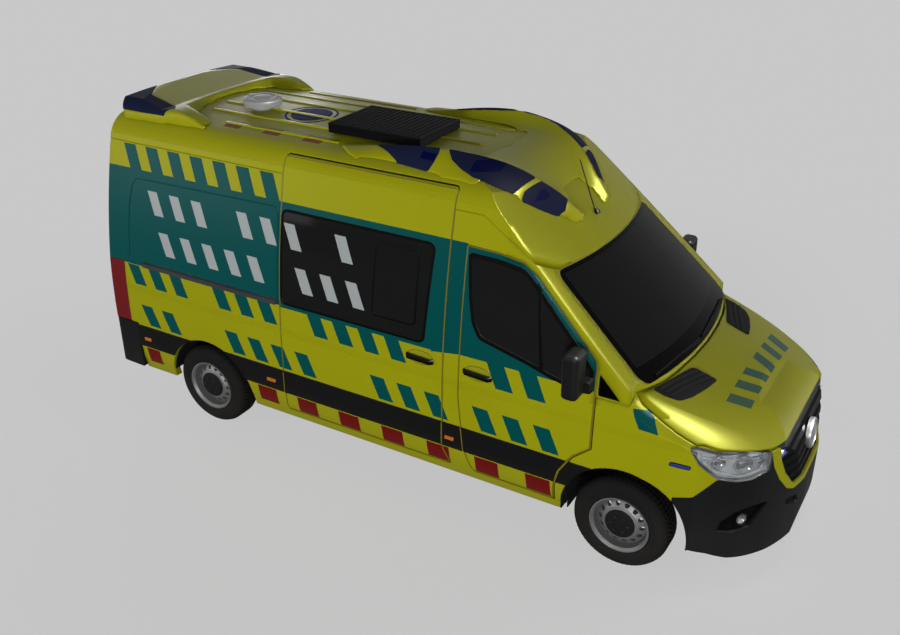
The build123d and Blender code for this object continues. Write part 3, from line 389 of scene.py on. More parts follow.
def body_paint(name, side_stripes=True, panels=side_panels, rows=teal_rows, edge=0.012):
    """Yellow paint, with the side's stripes if asked, and edges that look rounded."""
    made, tree = new_material(name)
    where = object_place(tree)
    x, y, z, out = axes(tree, where)
    slow = noise(tree, where, 1.6, 5.0)
    peel = noise(tree, where, 260.0, 2.0)
    deep = (yellow[0] * 0.90, yellow[1] * 0.88, yellow[2] * 0.8, 1)
    colour = blend(tree, slow, deep, (*yellow, 1))
    gloss = ramp(tree, slow, 0.0, 1.0, paint_roughness * 0.85, paint_roughness * 1.3)
    if side_stripes:
        on_side = calc(tree, "GREATER_THAN", out, 0.80)
        teal_masks = [panel_mask(tree, x, z, corners) for corners in (*panels, wing_bar)]
        teal_mask = any_of(tree, teal_masks + [add_rows(tree, x, z, rows)])
        colour = over(tree, colour, calc(tree, "MULTIPLY", teal_mask, on_side), teal)
        silver_mask = calc(tree, "MULTIPLY", add_rows(tree, x, z, silver_rows), on_side)
        colour = over(tree, colour, silver_mask, silver_film)
        red_mask = calc(tree, "MULTIPLY", add_rows(tree, x, z, red_rows), on_side)
        colour = over(tree, colour, red_mask, red_film)
        on_strip = calc(tree, "MULTIPLY", calc(tree, "GREATER_THAN", out, strip_out), band(tree, z, *strip_z))
        colour = over(tree, colour, on_strip, strip_black)
        gloss = calc(tree, "MULTIPLY_ADD", on_strip, 0.2, gloss)
        soil = ramp(tree, z, 0.62, 0.28, 0.0, 0.30)
        soil = calc(tree, "MULTIPLY", soil, calc(tree, "ADD", slow, 0.1))
        colour = over(tree, colour, soil, (0.12, 0.11, 0.07))
        facing = put(tree, "ShaderNodeSeparateXYZ", {0: put(tree, "ShaderNodeTexCoord").outputs["Normal"]})
        inside = calc(tree, "LESS_THAN", calc(tree, "MULTIPLY", y, facing.outputs["Y"]), -0.25)
        colour = over(tree, colour, inside, lining_grey)
    pillar = calc(tree, "MULTIPLY", band(tree, x, 0.90, 2.10), calc(tree, "GREATER_THAN", z, 1.24))
    pillar = calc(tree, "MULTIPLY", pillar, calc(tree, "GREATER_THAN", out, 0.60))
    radius = calc(tree, "MULTIPLY_ADD", pillar, corner_softness, edge)
    rolled = put(tree, "ShaderNodeBevel", {"Radius": radius}, samples=8).outputs[0]
    if side_stripes:
        fold = calc(tree, "MULTIPLY", ramp(tree, z, crease_z - 0.055, crease_z), on_side)
        crease = {"Strength": 0.9, "Distance": 0.011, "Height": fold, "Normal": rolled}
        rolled = put(tree, "ShaderNodeBump", crease).outputs[0]
    grain = {"Strength": 0.05, "Distance": 0.0004, "Height": peel, "Normal": rolled}
    bump = put(tree, "ShaderNodeBump", grain).outputs[0]
    shader = put(tree, "ShaderNodeBsdfPrincipled", {"Base Color": colour, "Roughness": gloss, "Normal": bump})
    shader.inputs["Specular IOR Level"].default_value = 0.20
    strong = put(tree, "ShaderNodeVectorMath", {0: colour, "Scale": 2.4}, operation="SCALE").outputs[0]
    tree.links.new(blend(tree, 0.85, (1, 1, 1, 1), strong), shader.inputs["Specular Tint"])
    surface(tree, shader)
    return made


def paint_over(material, find_mask, colour):
    """Lay one more film over a finished paint, where a mask made from the place is one."""
    tree = material.node_tree
    shader = next(node for node in tree.nodes if node.type == "BSDF_PRINCIPLED")
    under = shader.inputs["Base Color"].links[0].from_socket
    mask = find_mask(tree, *axes(tree, object_place(tree)))
    tree.links.new(over(tree, under, mask, colour), shader.inputs["Base Color"])


side_paint = body_paint("side_paint")
door_paint = body_paint("door_paint", panels=[door_panel], rows=teal_rows + [door_row])
plain_paint = body_paint("plain_paint", side_stripes=False)
fairing_paint = body_paint("fairing_paint", side_stripes=False, edge=0.010)
# The cup finish is the body yellow a little darker: painted shade for the recess behind each handle.
shaded_cup_paint = finish("shaded_cup_paint", (0.33, 0.33, 0.005), 0.35, grain=300, relief=0.05, coat=0.2)
# The edge finish is the body yellow at half strength: painted shade for the jambs seen in the shut lines and
# for the handle rims.
shaded_edge_paint = finish("shaded_edge_paint", (0.19, 0.165, 0.003), 0.40, grain=300, relief=0.05)

# %% [markdown]
# The bonnet carries two rows of slanted bars that open towards the nose, and the roof has three red
# squares a side. Both are drawn from above, so their masks read X and Y instead of X and Z.

# %% Bonnet and roof paint
# the two y edges at the rear, and how far both drift by the front, all in millimetres
bonnet_bars = [
    (-511, -417, 65),
    (-334, -238, 65),
    (-155, -61, 60),
    (100, 206, -55),
    (305, 400, -55),
    (489, 608, -60),
]
bonnet_bar_x = (2345, 2495)
roof_squares = [(-1723, -1565), (-1339, -1181), (-961, -795)]
roof_square_out = (0.490, 0.597)


def bonnet_mask(tree, x, y, z, out):
    x0, x1 = bonnet_bar_x
    bars = [[(x0, y0), (x1, y0 + drift), (x1, y1 + drift), (x0, y1)] for y0, y1, drift in bonnet_bars]
    return any_of(tree, [panel_mask(tree, x, y, corners) for corners in bars])


def roof_mask(tree, x, y, z, out):
    squares = any_of(tree, [band(tree, x, x0 / 1000, x1 / 1000) for x0, x1 in roof_squares])
    squares = calc(tree, "MULTIPLY", squares, band(tree, out, *roof_square_out))
    return calc(tree, "MULTIPLY", squares, calc(tree, "GREATER_THAN", z, 2.4))


bonnet_paint = body_paint("bonnet_paint", side_stripes=False)
paint_over(bonnet_paint, bonnet_mask, teal)
roof_paint = body_paint("roof_paint")
paint_over(roof_paint, roof_mask, red_film)
print("paints", [m.name for m in bpy.data.materials if m.name.endswith("paint")])

# %% [markdown]
# ## Glass and lamp covers
# The panes are tinted nearly black and let a little light through. A black ceramic band is printed round
# the windscreen to hide its glue, and it is widest along the foot. The bars that cross the side panes are
# film on the glass.

# %% Glass
def glass(name, colour, roughness=0.05, see=0.0, decorate=None, shine=0.5):
    """A pane or a lamp cover, with its tint a little uneven and its printed or moulded fields laid over."""
    made, tree = new_material(name)
    where = object_place(tree)
    slow = noise(tree, where, 2.2, 3.0)
    paint = blend(tree, slow, (*[c * 0.85 for c in colour], 1), (*colour, 1))
    if decorate:
        paint = decorate(tree, paint, *axes(tree, where))
    gloss = ramp(tree, slow, 0.0, 1.0, roughness, roughness * 1.8)
    shader = put(tree, "ShaderNodeBsdfPrincipled", {"Base Color": paint, "Roughness": gloss})
    shader.inputs["Transmission Weight"].default_value = see
    shader.inputs["Specular IOR Level"].default_value = shine
    shader.inputs["IOR"].default_value = 1.5
    surface(tree, shader)
    return made


def film_and_band(tree, paint, x, y, z, out):
    """Side bars over the tinted glass, and the black band round the windscreen."""
    on_side = calc(tree, "MULTIPLY", calc(tree, "GREATER_THAN", out, 0.84), calc(tree, "LESS_THAN", x, 0.6))
    bars = calc(tree, "MULTIPLY", add_rows(tree, x, z, silver_rows), on_side)
    edge = calc(tree, "MULTIPLY_ADD", z, -0.112, 0.948)
    near_side = calc(tree, "GREATER_THAN", out, edge)
    near_foot = calc(tree, "LESS_THAN", z, 1.470)
    near_top = calc(tree, "GREATER_THAN", z, 1.985)
    near_edge = any_of(tree, [near_side, near_foot, near_top])
    screen_band = calc(tree, "MULTIPLY", near_edge, calc(tree, "GREATER_THAN", x, 1.0))
    paint = over(tree, paint, screen_band, (0.001, 0.001, 0.001))
    return over(tree, paint, bars, silver_film)


fixed_pane = glass("fixed_pane", (0.013, 0.0132, 0.0135), decorate=film_and_band, shine=0.04)
door_pane = glass("door_pane", (0.014, 0.0142, 0.0145), shine=0.04)
clear_cover = glass("clear_cover", (0.80, 0.82, 0.84), roughness=0.04, see=0.94)
# rear x, front x, low and high z of each flasher's lamp unit, in millimetres
flash_boxes = [(104, 219, 2553, 2594), (505, 681, 2533, 2586), (917, 966, 2345, 2401)]


def flash_units(tree, paint, x, y, z, out):
    """The lamp units that show darker through the blue covers, three a side."""
    masks = []
    for x0, x1, z0, z1 in flash_boxes:
        along = band(tree, x, x0 / 1000, x1 / 1000)
        masks.append(calc(tree, "MULTIPLY", along, band(tree, z, z0 / 1000, z1 / 1000)))
    units = calc(tree, "MULTIPLY", any_of(tree, masks), calc(tree, "GREATER_THAN", out, 0.38))
    return over(tree, paint, units, (0.002, 0.004, 0.060))


blue_cover = glass("blue_cover", (0.016, 0.021, 0.058), roughness=0.35, decorate=flash_units, shine=0.008)


def lamp_fields(tree, paint, x, y, z, out):
    """The tail lamp's fields: red above and below, with a clear and an amber field between."""
    on_back = calc(tree, "LESS_THAN", x, -2.786)
    on_back = calc(tree, "MULTIPLY", on_back, calc(tree, "LESS_THAN", out, 0.925))
    clear_field = calc(tree, "MULTIPLY", band(tree, z, 0.985, 1.075), on_back)
    amber_field = calc(tree, "MULTIPLY", band(tree, z, 1.085, 1.165), on_back)
    paint = over(tree, paint, clear_field, (0.50, 0.48, 0.46))
    return over(tree, paint, amber_field, (0.42, 0.11, 0.006))


tail_cover = glass("tail_cover", (0.20, 0.006, 0.008), roughness=0.10, decorate=lamp_fields)

# %% Finishes on the carried-over pieces
side_names = {-1: "right", 1: "left"}
node_finish = {
    "roof": roof_paint,
    "bonnet": bonnet_paint,
    "light_fairings": fairing_paint,
    "grille_surround": plain_paint,
    "sliding_door": side_paint,
    "front_wings": side_paint,
    "fixed_glass": fixed_pane,
    "blue_lenses": blue_cover,
    "headlamps": clear_cover,
    "fog_lamps": clear_cover,
    "tail_lamps": tail_cover,
    "front_bumper": black_plastic,
    "rear_bumper": black_plastic,
    "bumper_inserts": trim_black,
    "grille": trim_black,
    "wheel_liners": black_plastic,
    "roof_unit": matt_black,
    "antenna": trim_black,
    "dashboard": black_plastic,
    "fuel_tank": black_plastic,
    "badge_disc": badge_silver,
    "roof_vent": vent_grey,
    "door_rail": rail_grey,
    "floor_pan": floor_grey,
    "bulkhead": floor_grey,
    "chassis_frame": chassis_black,
    "rear_axle": chassis_black,
    "propeller_shaft": chassis_black,
    "engine": engine_iron,
}
for side in side_names.values():
    node_finish[f"side_wall_{side}"] = side_paint
    node_finish[f"front_door_{side}"] = door_paint
    node_finish[f"rear_door_{side}"] = side_paint
    node_finish[f"front_door_glass_{side}"] = door_pane
    node_finish[f"rear_door_glass_{side}"] = door_pane
    node_finish[f"door_mirror_{side}"] = black_plastic
    node_finish[f"knuckle_{side}"] = chassis_black
    for axle in ("front", "rear"):
        node_finish[f"wheel_{axle}_{side}"] = wheel_silver
for name, made in node_finish.items():
    for slot in nodes[name].material_slots:
        slot.material = made
print("unfinished nodes", sorted(set(nodes) - set(node_finish)))

# %% [markdown]
# ## Helpers for pieces that lie on the body
# Seals, lamps and handles follow a curved skin. Their outlines are drawn flat, in the side view or from
# above, and each point is dropped on to the skin, as a template is laid on a panel.

# %% A piece from a mesh
def plain_mesh(name, bm):
    """A mesh from a bmesh, with its faces turned outwards."""
    bmesh.ops.recalc_face_normals(bm, faces=bm.faces)
    mesh = bpy.data.meshes.new(name)
    bm.to_mesh(mesh)
    bm.free()
    return mesh


def held(name, mesh):
    """A scene object that holds a mesh."""
    made = bpy.data.objects.new(name, mesh)
    scene.collection.objects.link(made)
    return made


def baked(holder):
    """The mesh that an object's modifiers make of it. The object itself is dropped."""
    bpy.context.view_layer.update()
    mesh = bpy.data.meshes.new_from_object(holder.evaluated_get(bpy.context.evaluated_depsgraph_get()))
    holder.modifiers.clear()
    bpy.data.objects.remove(holder)
    return mesh


def dressed(name, mesh, material, body, angle=None):
    """Finish a mesh and let it ride on a body, with its edges sharp where they turn more than the angle."""
    mesh.name = name
    mesh.materials.clear()
    mesh.materials.append(material)
    mesh.shade_smooth()
    if angle:
        mesh.set_sharp_from_angle(angle=radians(angle))
    made = held(name, mesh)
    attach(made, body)
    return made


def piece(name, bm, material, body="body", angle=35):
    """Turn a bmesh into a finished piece that rides on a body."""
    return dressed(name, plain_mesh(name, bm), material, body, angle)


def skin(*names):
    """A search tree over some nodes' faces, to drop points on."""
    bm = bmesh.new()
    for name in names:
        bm.from_mesh(nodes[name].data)
    tree = BVHTree.FromBMesh(bm)
    bm.free()
    return tree


ways = {
    "right": lambda a, b: (Vector((a, -1.5, b)), Vector((0, 1, 0))),
    "left": lambda a, b: (Vector((a, 1.5, b)), Vector((0, -1, 0))),
    "top": lambda a, b: (Vector((a, b, 3.0)), Vector((0, 0, -1))),
    "front": lambda a, b: (Vector((3.2, a, b)), Vector((-1, 0, 0))),
    "rear": lambda a, b: (Vector((-3.2, a, b)), Vector((1, 0, 0))),
}


def land(tree, way, a, b):
    """The point of a skin under a flat drawing's point, in metres, and the skin's normal there."""
    start, aim = ways[way](a, b)
    hit, normal, _, _ = tree.ray_cast(start, aim)
    if hit is None:
        hit, normal, _, _ = tree.find_nearest(start + aim * 0.5)
    if normal.dot(aim) > 0:
        normal = -normal
    return hit, normal


# %% Outlines
def rounded(points, radius, steps=5):
    """A closed outline in millimetres with its corners rounded, as points in metres."""
    made = []
    count = len(points)
    for i, (x, z) in enumerate(points):
        here = Vector((x, z)) / 1000
        before = Vector(points[i - 1]) / 1000
        after = Vector(points[(i + 1) % count]) / 1000
        back = before - here
        on = after - here
        cut = min(radius / 1000, back.length * 0.45, on.length * 0.45)
        start = here + back.normalized() * cut
        end = here + on.normalized() * cut
        for k in range(steps + 1):
            t = k / steps
            made.append((1 - t) ** 2 * start + 2 * t * (1 - t) * here + t * t * end)
    return made


def box_outline(a0, a1, b0, b1):
    """The four corners of an upright rectangle."""
    return [(a0, b0), (a1, b0), (a1, b1), (a0, b1)]


def dense(loop, gap):
    """The same closed outline with no run longer than the gap."""
    made = []
    for i, point in enumerate(loop):
        after = loop[(i + 1) % len(loop)]
        count = max(1, int((after - point).length / gap))
        made += [point.lerp(after, k / count) for k in range(count)]
    return made


def grown(loop, amount):
    """A closed outline moved outwards by an amount in metres."""
    area = sum(a.x * b.y - b.x * a.y for a, b in zip(loop, loop[1:] + loop[:1]))
    turn = 1 if area > 0 else -1
    made = []
    for i, point in enumerate(loop):
        run = (loop[(i + 1) % len(loop)] - loop[i - 1]).normalized()
        made.append(point + Vector((run.y, -run.x)) * amount * turn)
    return made


# %% Bands, strips and plates
def bridge(bm, rows, around):
    """Faces between each row of corners and the next, for rows that close round on themselves."""
    for a, b in zip(rows, rows[1:] + rows[:1] if around else rows[1:]):
        for i in range(len(a)):
            j = (i + 1) % len(a)
            bm.faces.new((a[i], a[j], b[j], b[i]))


def ring_band(tree, way, loop, outward, inward, lift, sink=0.002):
    """A closed band along an outline, raised a little over the skin."""
    bm = bmesh.new()
    rows = []
    for amount, height in ((outward, -sink), (outward * 0.8, lift), (-inward * 0.8, lift), (-inward, -sink)):
        row = []
        for point in grown(loop, amount):
            hit, normal = land(tree, way, point.x, point.y)
            row.append(bm.verts.new(hit + normal * height))
        rows.append(row)
    bridge(bm, rows, around=True)
    return bm


def edge_strip(tree, way, loop, width, front_width, lap=0.0015, thick=0.004):
    """A strip that stands out from a panel's edge into its shut line, wider where that faces the front."""
    bm = bmesh.new()
    rows = []
    for inner, ahead in zip(grown(loop, -lap), grown(loop, 1.0 - lap)):
        away = ahead - inner
        outer = inner + away * (lap + width + (front_width - width) * max(0.0, away.x))
        hit, normal = land(tree, way, inner.x, inner.y)
        out = hit + Vector((outer.x - inner.x, 0, outer.y - inner.y))
        section = (hit + normal * 0.0008, out, out - normal * thick, hit - normal * thick)
        rows.append([bm.verts.new(p) for p in section])
    bridge(bm, rows, around=True)
    return bm


def plate(tree, way, loop, lift, sink=0.003, edge=0.003, cell=0.04):
    """A thin closed plate that follows the skin inside an outline, with a rounded edge."""
    bm = bmesh.new()
    flat = bmesh.new()
    corners = [flat.verts.new((p.x, p.y, 0)) for p in grown(loop, -edge)]
    flat.faces.new(corners)
    low = Vector((min(p.x for p in loop), min(p.y for p in loop), 0))
    high = Vector((max(p.x for p in loop), max(p.y for p in loop), 0))
    for axis in (0, 1):
        steps = int((high[axis] - low[axis]) / cell)
        for k in range(1, steps + 1):
            cut = Vector((0, 0, 0))
            cut[axis] = low[axis] + (high[axis] - low[axis]) * k / (steps + 1)
            aim = Vector((0, 0, 0))
            aim[axis] = 1
            everything = flat.verts[:] + flat.edges[:] + flat.faces[:]
            bmesh.ops.bisect_plane(flat, geom=everything, plane_co=cut, plane_no=aim)
    bmesh.ops.triangulate(flat, faces=[f for f in flat.faces if len(f.verts) > 4])
    middle = (low + high) / 2
    top = {}
    for v in flat.verts:
        hit, normal = land(tree, way, v.co.x, v.co.y)
        top[v] = bm.verts.new(hit + normal * lift)
    for face in flat.faces:
        bm.faces.new([top[v] for v in face.verts])
    border = [e for e in flat.edges if e.is_boundary]
    foot = {}
    shoulder = {}
    around = {}
    for e in border:
        for v in e.verts:
            around.setdefault(v, []).append(e.other_vert(v))
    for v, near in around.items():
        run = (near[0].co - near[-1].co).normalized()
        side = Vector((run.y, -run.x, 0))
        if side.dot(v.co - middle) < 0:
            side = -side
        for store, amount, height in ((shoulder, edge * 0.7, lift * 0.7), (foot, edge, -sink)):
            hit, normal = land(tree, way, v.co.x + side.x * amount, v.co.y + side.y * amount)
            store[v] = bm.verts.new(hit + normal * height)
    for e in border:
        a, b = e.verts
        bm.faces.new((top[a], top[b], shoulder[b], shoulder[a]))
        bm.faces.new((shoulder[a], shoulder[b], foot[b], foot[a]))
    under = {}
    for v in flat.verts:
        if v in foot:
            under[v] = foot[v]
        else:
            hit, normal = land(tree, way, v.co.x, v.co.y)
            under[v] = bm.verts.new(hit - normal * sink)
    for face in flat.faces:
        bm.faces.new([under[v] for v in reversed(face.verts)])
    flat.free()
    return bm


# %% Bars, blocks and turned pieces
def tube(bm, path, radius, sides=10, closed=False, flatten=1.0, up=Vector((0, 0, 1))):
    """A round bar along a path of points in metres, with rounded ends."""
    points = [Vector(p) for p in path]
    count = len(points)
    rings = []
    for i, point in enumerate(points):
        before = points[i - 1] if closed or i else points[0]
        after = points[(i + 1) % count] if closed or i < count - 1 else points[-1]
        run = (after - before).normalized()
        across = run.cross(up)
        if across.length < 1e-4:
            across = run.cross(Vector((1, 0, 0)))
        across.normalize()
        rise = across.cross(run).normalized()
        ring = []
        for k in range(sides):
            turn = 2 * pi * k / sides
            out = across * cos(turn) * radius + rise * sin(turn) * radius * flatten
            ring.append(bm.verts.new(point + out))
        rings.append(ring)
    bridge(bm, rings, around=closed)
    if not closed:
        for ring, near, sign in ((rings[0], points[1], 1), (rings[-1], points[-2], -1)):
            middle = sum((v.co for v in ring), Vector()) / sides
            tip = bm.verts.new(middle + (middle - near).normalized() * radius * 0.4)
            for k in range(sides):
                m = (k + 1) % sides
                bm.faces.new((ring[k], ring[m], tip) if sign < 0 else (ring[m], ring[k], tip))


def rounded_box(bm, low, high, radius, steps=3):
    """A bar or block with all its edges rounded."""
    made = bmesh.ops.create_cube(bm, size=1)["verts"]
    size = Vector(high) - Vector(low)
    middle = (Vector(high) + Vector(low)) / 2
    for v in made:
        v.co = Vector((v.co.x * size.x, v.co.y * size.y, v.co.z * size.z))
    edges = {e for v in made for e in v.link_edges}
    cut = bmesh.ops.bevel(bm, geom=list(edges), offset=radius, segments=steps, profile=0.5, affect="EDGES")
    for v in {v for f in cut["faces"] for v in f.verts} | {v for v in made if v.is_valid}:
        v.co += middle


def skin_path(tree, way, start, end, runs, lift, bow=(0.0, 0.0)):
    """Points over a skin from one flat point to another, in metres. The lift is a rule of the way gone."""
    path = []
    for k in range(runs + 1):
        t = k / runs
        flat = Vector(start).lerp(Vector(end), t) + Vector(bow) * sin(pi * t)
        hit, normal = land(tree, way, flat.x, flat.y)
        path.append(hit + normal * lift(t))
    return path


def oval(x, z, half_length, half_height, count):
    """A closed oval outline: its centre and half sizes in millimetres, as points in metres."""
    turns = [2 * pi * k / count for k in range(count)]
    return [Vector((x + half_length * cos(turn), z + half_height * sin(turn))) / 1000 for turn in turns]


def spun(bm, profile, centre, axis, steps=48):
    """A turned piece: a closed profile of (radius, height) points round an axis."""
    axis = Vector(axis).normalized()
    side = axis.orthogonal().normalized()
    other = axis.cross(side)
    rings = []
    for k in range(steps):
        turn = 2 * pi * k / steps
        out = side * cos(turn) + other * sin(turn)
        rings.append([bm.verts.new(Vector(centre) + out * r + axis * h) for r, h in profile])
    bridge(bm, rings, around=True)
    bmesh.ops.remove_doubles(bm, verts=[v for ring in rings for v in ring], dist=1e-6)


print("helpers ready")

# %% [markdown]
# ## Copies in rows and rings
# Fins, ribs, bolts and tread blocks repeat by a rule. Each rule is a small Geometry Nodes tree that
# copies one template: a row steps by a fixed distance, a ring turns by an equal angle. The result is
# baked to a plain mesh.

# %% Geometry Nodes trees
def new_geometry_tree(name, inputs):
    """A tree that takes a template and the named inputs, and gives a shape."""
    tree = bpy.data.node_groups.new(name, "GeometryNodeTree")
    tree.interface.new_socket(name="Geometry", in_out="INPUT", socket_type="NodeSocketGeometry")
    for label, kind in inputs.items():
        tree.interface.new_socket(name=label, in_out="INPUT", socket_type="NodeSocket" + kind)
    tree.interface.new_socket(name="Geometry", in_out="OUTPUT", socket_type="NodeSocketGeometry")
    return tree, tree.nodes.new("NodeGroupInput").outputs


def finish_tree(tree, shape, material):
    """Make the copies real, give them their material and hand them on."""
    real = put(tree, "GeometryNodeRealizeInstances", {0: shape}).outputs[0]
    coloured = put(tree, "GeometryNodeSetMaterial", {"Geometry": real, "Material": material}).outputs[0]
    put(tree, "NodeGroupOutput", {0: coloured})


def copies_at(tree, given, place=None, turn=None):
    """One copy of the template at each of a count of points."""
    points = put(tree, "GeometryNodePoints", {"Count": given["Count"]})
    if place:
        tree.links.new(place, points.inputs["Position"])
    copies = put(tree, "GeometryNodeInstanceOnPoints", {0: points.outputs[0], "Instance": given["Geometry"]})
    if turn:
        tree.links.new(turn, copies.inputs["Rotation"])
    return copies.outputs[0]


row_inputs = {"Count": "Int", "Step": "Vector", "Material": "Material"}
row_tree, given = new_geometry_tree("row_of_copies", row_inputs)
order = row_tree.nodes.new("GeometryNodeInputIndex").outputs[0]
place = put(row_tree, "ShaderNodeVectorMath", {0: given["Step"], "Scale": order}, operation="SCALE")
finish_tree(row_tree, copies_at(row_tree, given, place=place.outputs[0]), given["Material"])

ring_inputs = {"Count": "Int", "Centre": "Vector", "Material": "Material"}
ring_tree, given = new_geometry_tree("ring_of_copies", ring_inputs)
order = ring_tree.nodes.new("GeometryNodeInputIndex").outputs[0]
full_turn = calc(ring_tree, "DIVIDE", 2 * pi, given["Count"])
turn = put(ring_tree, "ShaderNodeCombineXYZ", {"Y": calc(ring_tree, "MULTIPLY", order, full_turn)}).outputs[0]
copies = copies_at(ring_tree, given, turn=turn)
moved = put(ring_tree, "GeometryNodeTransform", {"Geometry": copies, "Translation": given["Centre"]})
finish_tree(ring_tree, moved.outputs[0], given["Material"])


def repeated(name, bm, tree, values, material, body="body"):
    """Bake a tree's copies of a template into one plain piece."""
    template = held(name + "_one", plain_mesh(name + "_one", bm))
    modifier = template.modifiers.new("copies", "NODES")
    modifier.node_group = tree
    sockets = {item.name: item.identifier for item in tree.interface.items_tree if item.in_out == "INPUT"}
    for label, value in {**values, "Material": material}.items():
        modifier[sockets[label]] = value
    made = dressed(name, baked(template), material, body, angle=35)
    print(name, len(made.data.polygons), "faces")


# %% [markdown]
# ## Wheels
# A tyre is a carcass with blocks of tread on its crown. The carcass is turned from its section, and five
# rows of blocks are ringed round it, the outer rows longer, with grooves between. The steel wheel keeps
# its shape and gets a dark cap over the hub and six bolts.

# %% Tyres
tyre_radius = 0.348
tread_depth = 0.008
axles = {"front": 1.855, "rear": -1.810}
wheel_y = 0.857
# half of the tyre's section: radius, and height over the wheel's middle plane
tyre_half = [
    (0.2145, 0.1035),
    (0.224, 0.1125),
    (0.240, 0.1150),
    (0.275, 0.1168),
    (0.279, 0.1155),
    (0.300, 0.1120),
    (0.325, 0.0990),
    (0.336, 0.0880),
    (0.3395, 0.0700),
    (tyre_radius - tread_depth, 0.0400),
]
tyre_profile = tyre_half + [(r, -h) for r, h in reversed(tyre_half)]
# across the crown, width, blocks round the tyre, and lean of each row
tread_rows = [
    (-0.076, 0.026, 60, 0.7),
    (-0.040, 0.030, 66, 0.35),
    (0.0, 0.032, 66, 0.0),
    (0.040, 0.030, 66, -0.35),
    (0.076, 0.026, 60, -0.7),
]
# more profiles of (radius, height) from the middle of the wheel
hub_cap = [
    (0.0, 0.088), (0.107, 0.088), (0.108, 0.094), (0.103, 0.101), (0.090, 0.1035), (0.034, 0.1035),
    (0.031, 0.1075), (0.0, 0.1085),
]
bolt_head = [(0.0, 0.100), (0.0105, 0.100), (0.0105, 0.1095), (0.0085, 0.1115), (0.0, 0.1115)]
bolt_circle = 0.062
side_ribs = [(0.262, 0.1166), (0.250, 0.1161)]
rib_section = [(-0.0012, -0.001), (0.0, 0.0008), (0.0012, -0.001)]


def tread_block(across, width, count, lean):
    """One slanted block of a tread row, on the crown at the top of the wheel."""
    bm = bmesh.new()
    pitch = 2 * pi * tyre_radius / count
    length = pitch * 0.74
    drop = 0.009 if abs(across) > 0.06 else 0.0
    foot = tyre_radius - tread_depth - drop - 0.004
    corners = box_outline(-length / 2, length / 2, -width / 2, width / 2)
    rows = []
    for height, scale in ((foot, 1.0), (tyre_radius - 0.0022, 1.0), (tyre_radius - 0.0006, 0.90)):
        row = []
        for a, b in corners:
            y = across + b * scale
            shoulder = max(0.0, abs(y) - 0.066) * 0.45
            row.append(bm.verts.new((a * scale + b * lean * 0.4, y, height - shoulder)))
        rows.append(row)
    bridge(bm, rows, around=False)
    bm.faces.new(rows[-1])
    bm.faces.new(rows[0][::-1])
    return bm


def wheel_dress(label, centre, side, body):
    """One wheel's tyre with its tread, its hub cap and its bolts."""
    axis = (0, side, 0)
    bm = bmesh.new()
    spun(bm, tyre_profile, centre, axis, steps=96)
    for radius, height in side_ribs:
        rib = [(radius + across, height + up) for across, up in rib_section]
        spun(bm, rib, centre, axis, steps=96)
    carcass = piece(f"tyre_carcass_{label}", bm, tyre_rubber, body, angle=50)
    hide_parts(f"tyre_{label}")
    for index, (across, width, count, lean) in enumerate(tread_rows):
        block = tread_block(across, width, count, lean)
        values = {"Count": count, "Centre": centre}
        repeated(f"tread_{label}_{index}", block, ring_tree, values, tyre_rubber, body)
    bm = bmesh.new()
    spun(bm, hub_cap, centre, axis, steps=40)
    piece(f"hub_cap_{label}", bm, hub_black, body, angle=30)
    bm = bmesh.new()
    spun(bm, [(r, side * h) for r, h in bolt_head], (bolt_circle, 0, 0), (0, 1, 0), steps=6)
    values = {"Count": 6, "Centre": centre}
    repeated(f"wheel_bolts_{label}", bm, ring_tree, values, bolt_steel, body)


for axle, axle_x in axles.items():
    for side, side_name in side_names.items():
        centre = Vector((axle_x, side * wheel_y, tyre_radius))
        wheel_dress(f"{axle}_{side_name}", centre, side, f"{axle}_wheel_{side_name}_body")

# %% [markdown]
# ## Windows
# Rubber seals frame the panes. They are closed bands laid along each window's edge and pressed on to the
# skin. The sliding pane in the side window shows as a thin frame, and a black bar parts the front door's
# quarter pane.

# %% Seals and frames
# outlines in the side view, in millimetres, and the rear window's in the view from behind
front_door_window = [
    (632, 2048), (857, 2044), (1039, 2020), (1110, 1968), (1270, 1808), (1500, 1576), (1592, 1470),
    (1592, 1310), (1476, 1310), (1289, 1350), (1116, 1400), (929, 1442), (757, 1482), (700, 1580),
    (664, 1760),
]
side_window = [(-955, 2058), (365, 2058), (318, 1334), (-955, 1334)]
sliding_pane = [(-124, 1445), (240, 1445), (246, 1980), (-112, 1980)]
quarter_bar = [(1147, 1962), (1182, 1925), (1254, 1366), (1220, 1376)]
rear_window = [(110, 1450), (620, 1450), (585, 2060), (110, 2060)]
for side, side_name in side_names.items():
    door_skin = skin(f"front_door_{side_name}", f"front_door_glass_{side_name}")
    door_body = f"front_door_{side_name}_body"
    loop = dense(rounded(front_door_window, 30), 0.05)
    bm = ring_band(door_skin, side_name, loop, outward=0.010, inward=0.024, lift=0.004)
    piece(f"door_window_seal_{side_name}", bm, seal_rubber, door_body)
    bm = plate(door_skin, side_name, rounded(quarter_bar, 4, 2), lift=0.004)
    piece(f"quarter_bar_{side_name}", bm, trim_black, door_body)
    wall = "sliding_door" if side == -1 else "side_wall_left"
    wall_skin = skin(wall, "fixed_glass")
    loop = dense(rounded(side_window, 55), 0.06)
    bm = ring_band(wall_skin, side_name, loop, outward=0.008, inward=0.016, lift=0.003)
    piece(f"side_window_seal_{side_name}", bm, seal_rubber)
    loop = dense(rounded(sliding_pane, 45), 0.06)
    bm = ring_band(wall_skin, side_name, loop, outward=0.007, inward=0.007, lift=0.003)
    piece(f"sliding_pane_frame_{side_name}", bm, trim_black)
    rear_skin = skin(f"rear_door_{side_name}", f"rear_door_glass_{side_name}")
    loop = dense(rounded([(side * y, z) for y, z in rear_window], 50), 0.06)
    bm = ring_band(rear_skin, "rear", loop, outward=0.010, inward=0.018, lift=0.004)
    piece(f"rear_window_seal_{side_name}", bm, seal_rubber, f"rear_door_{side_name}_body")

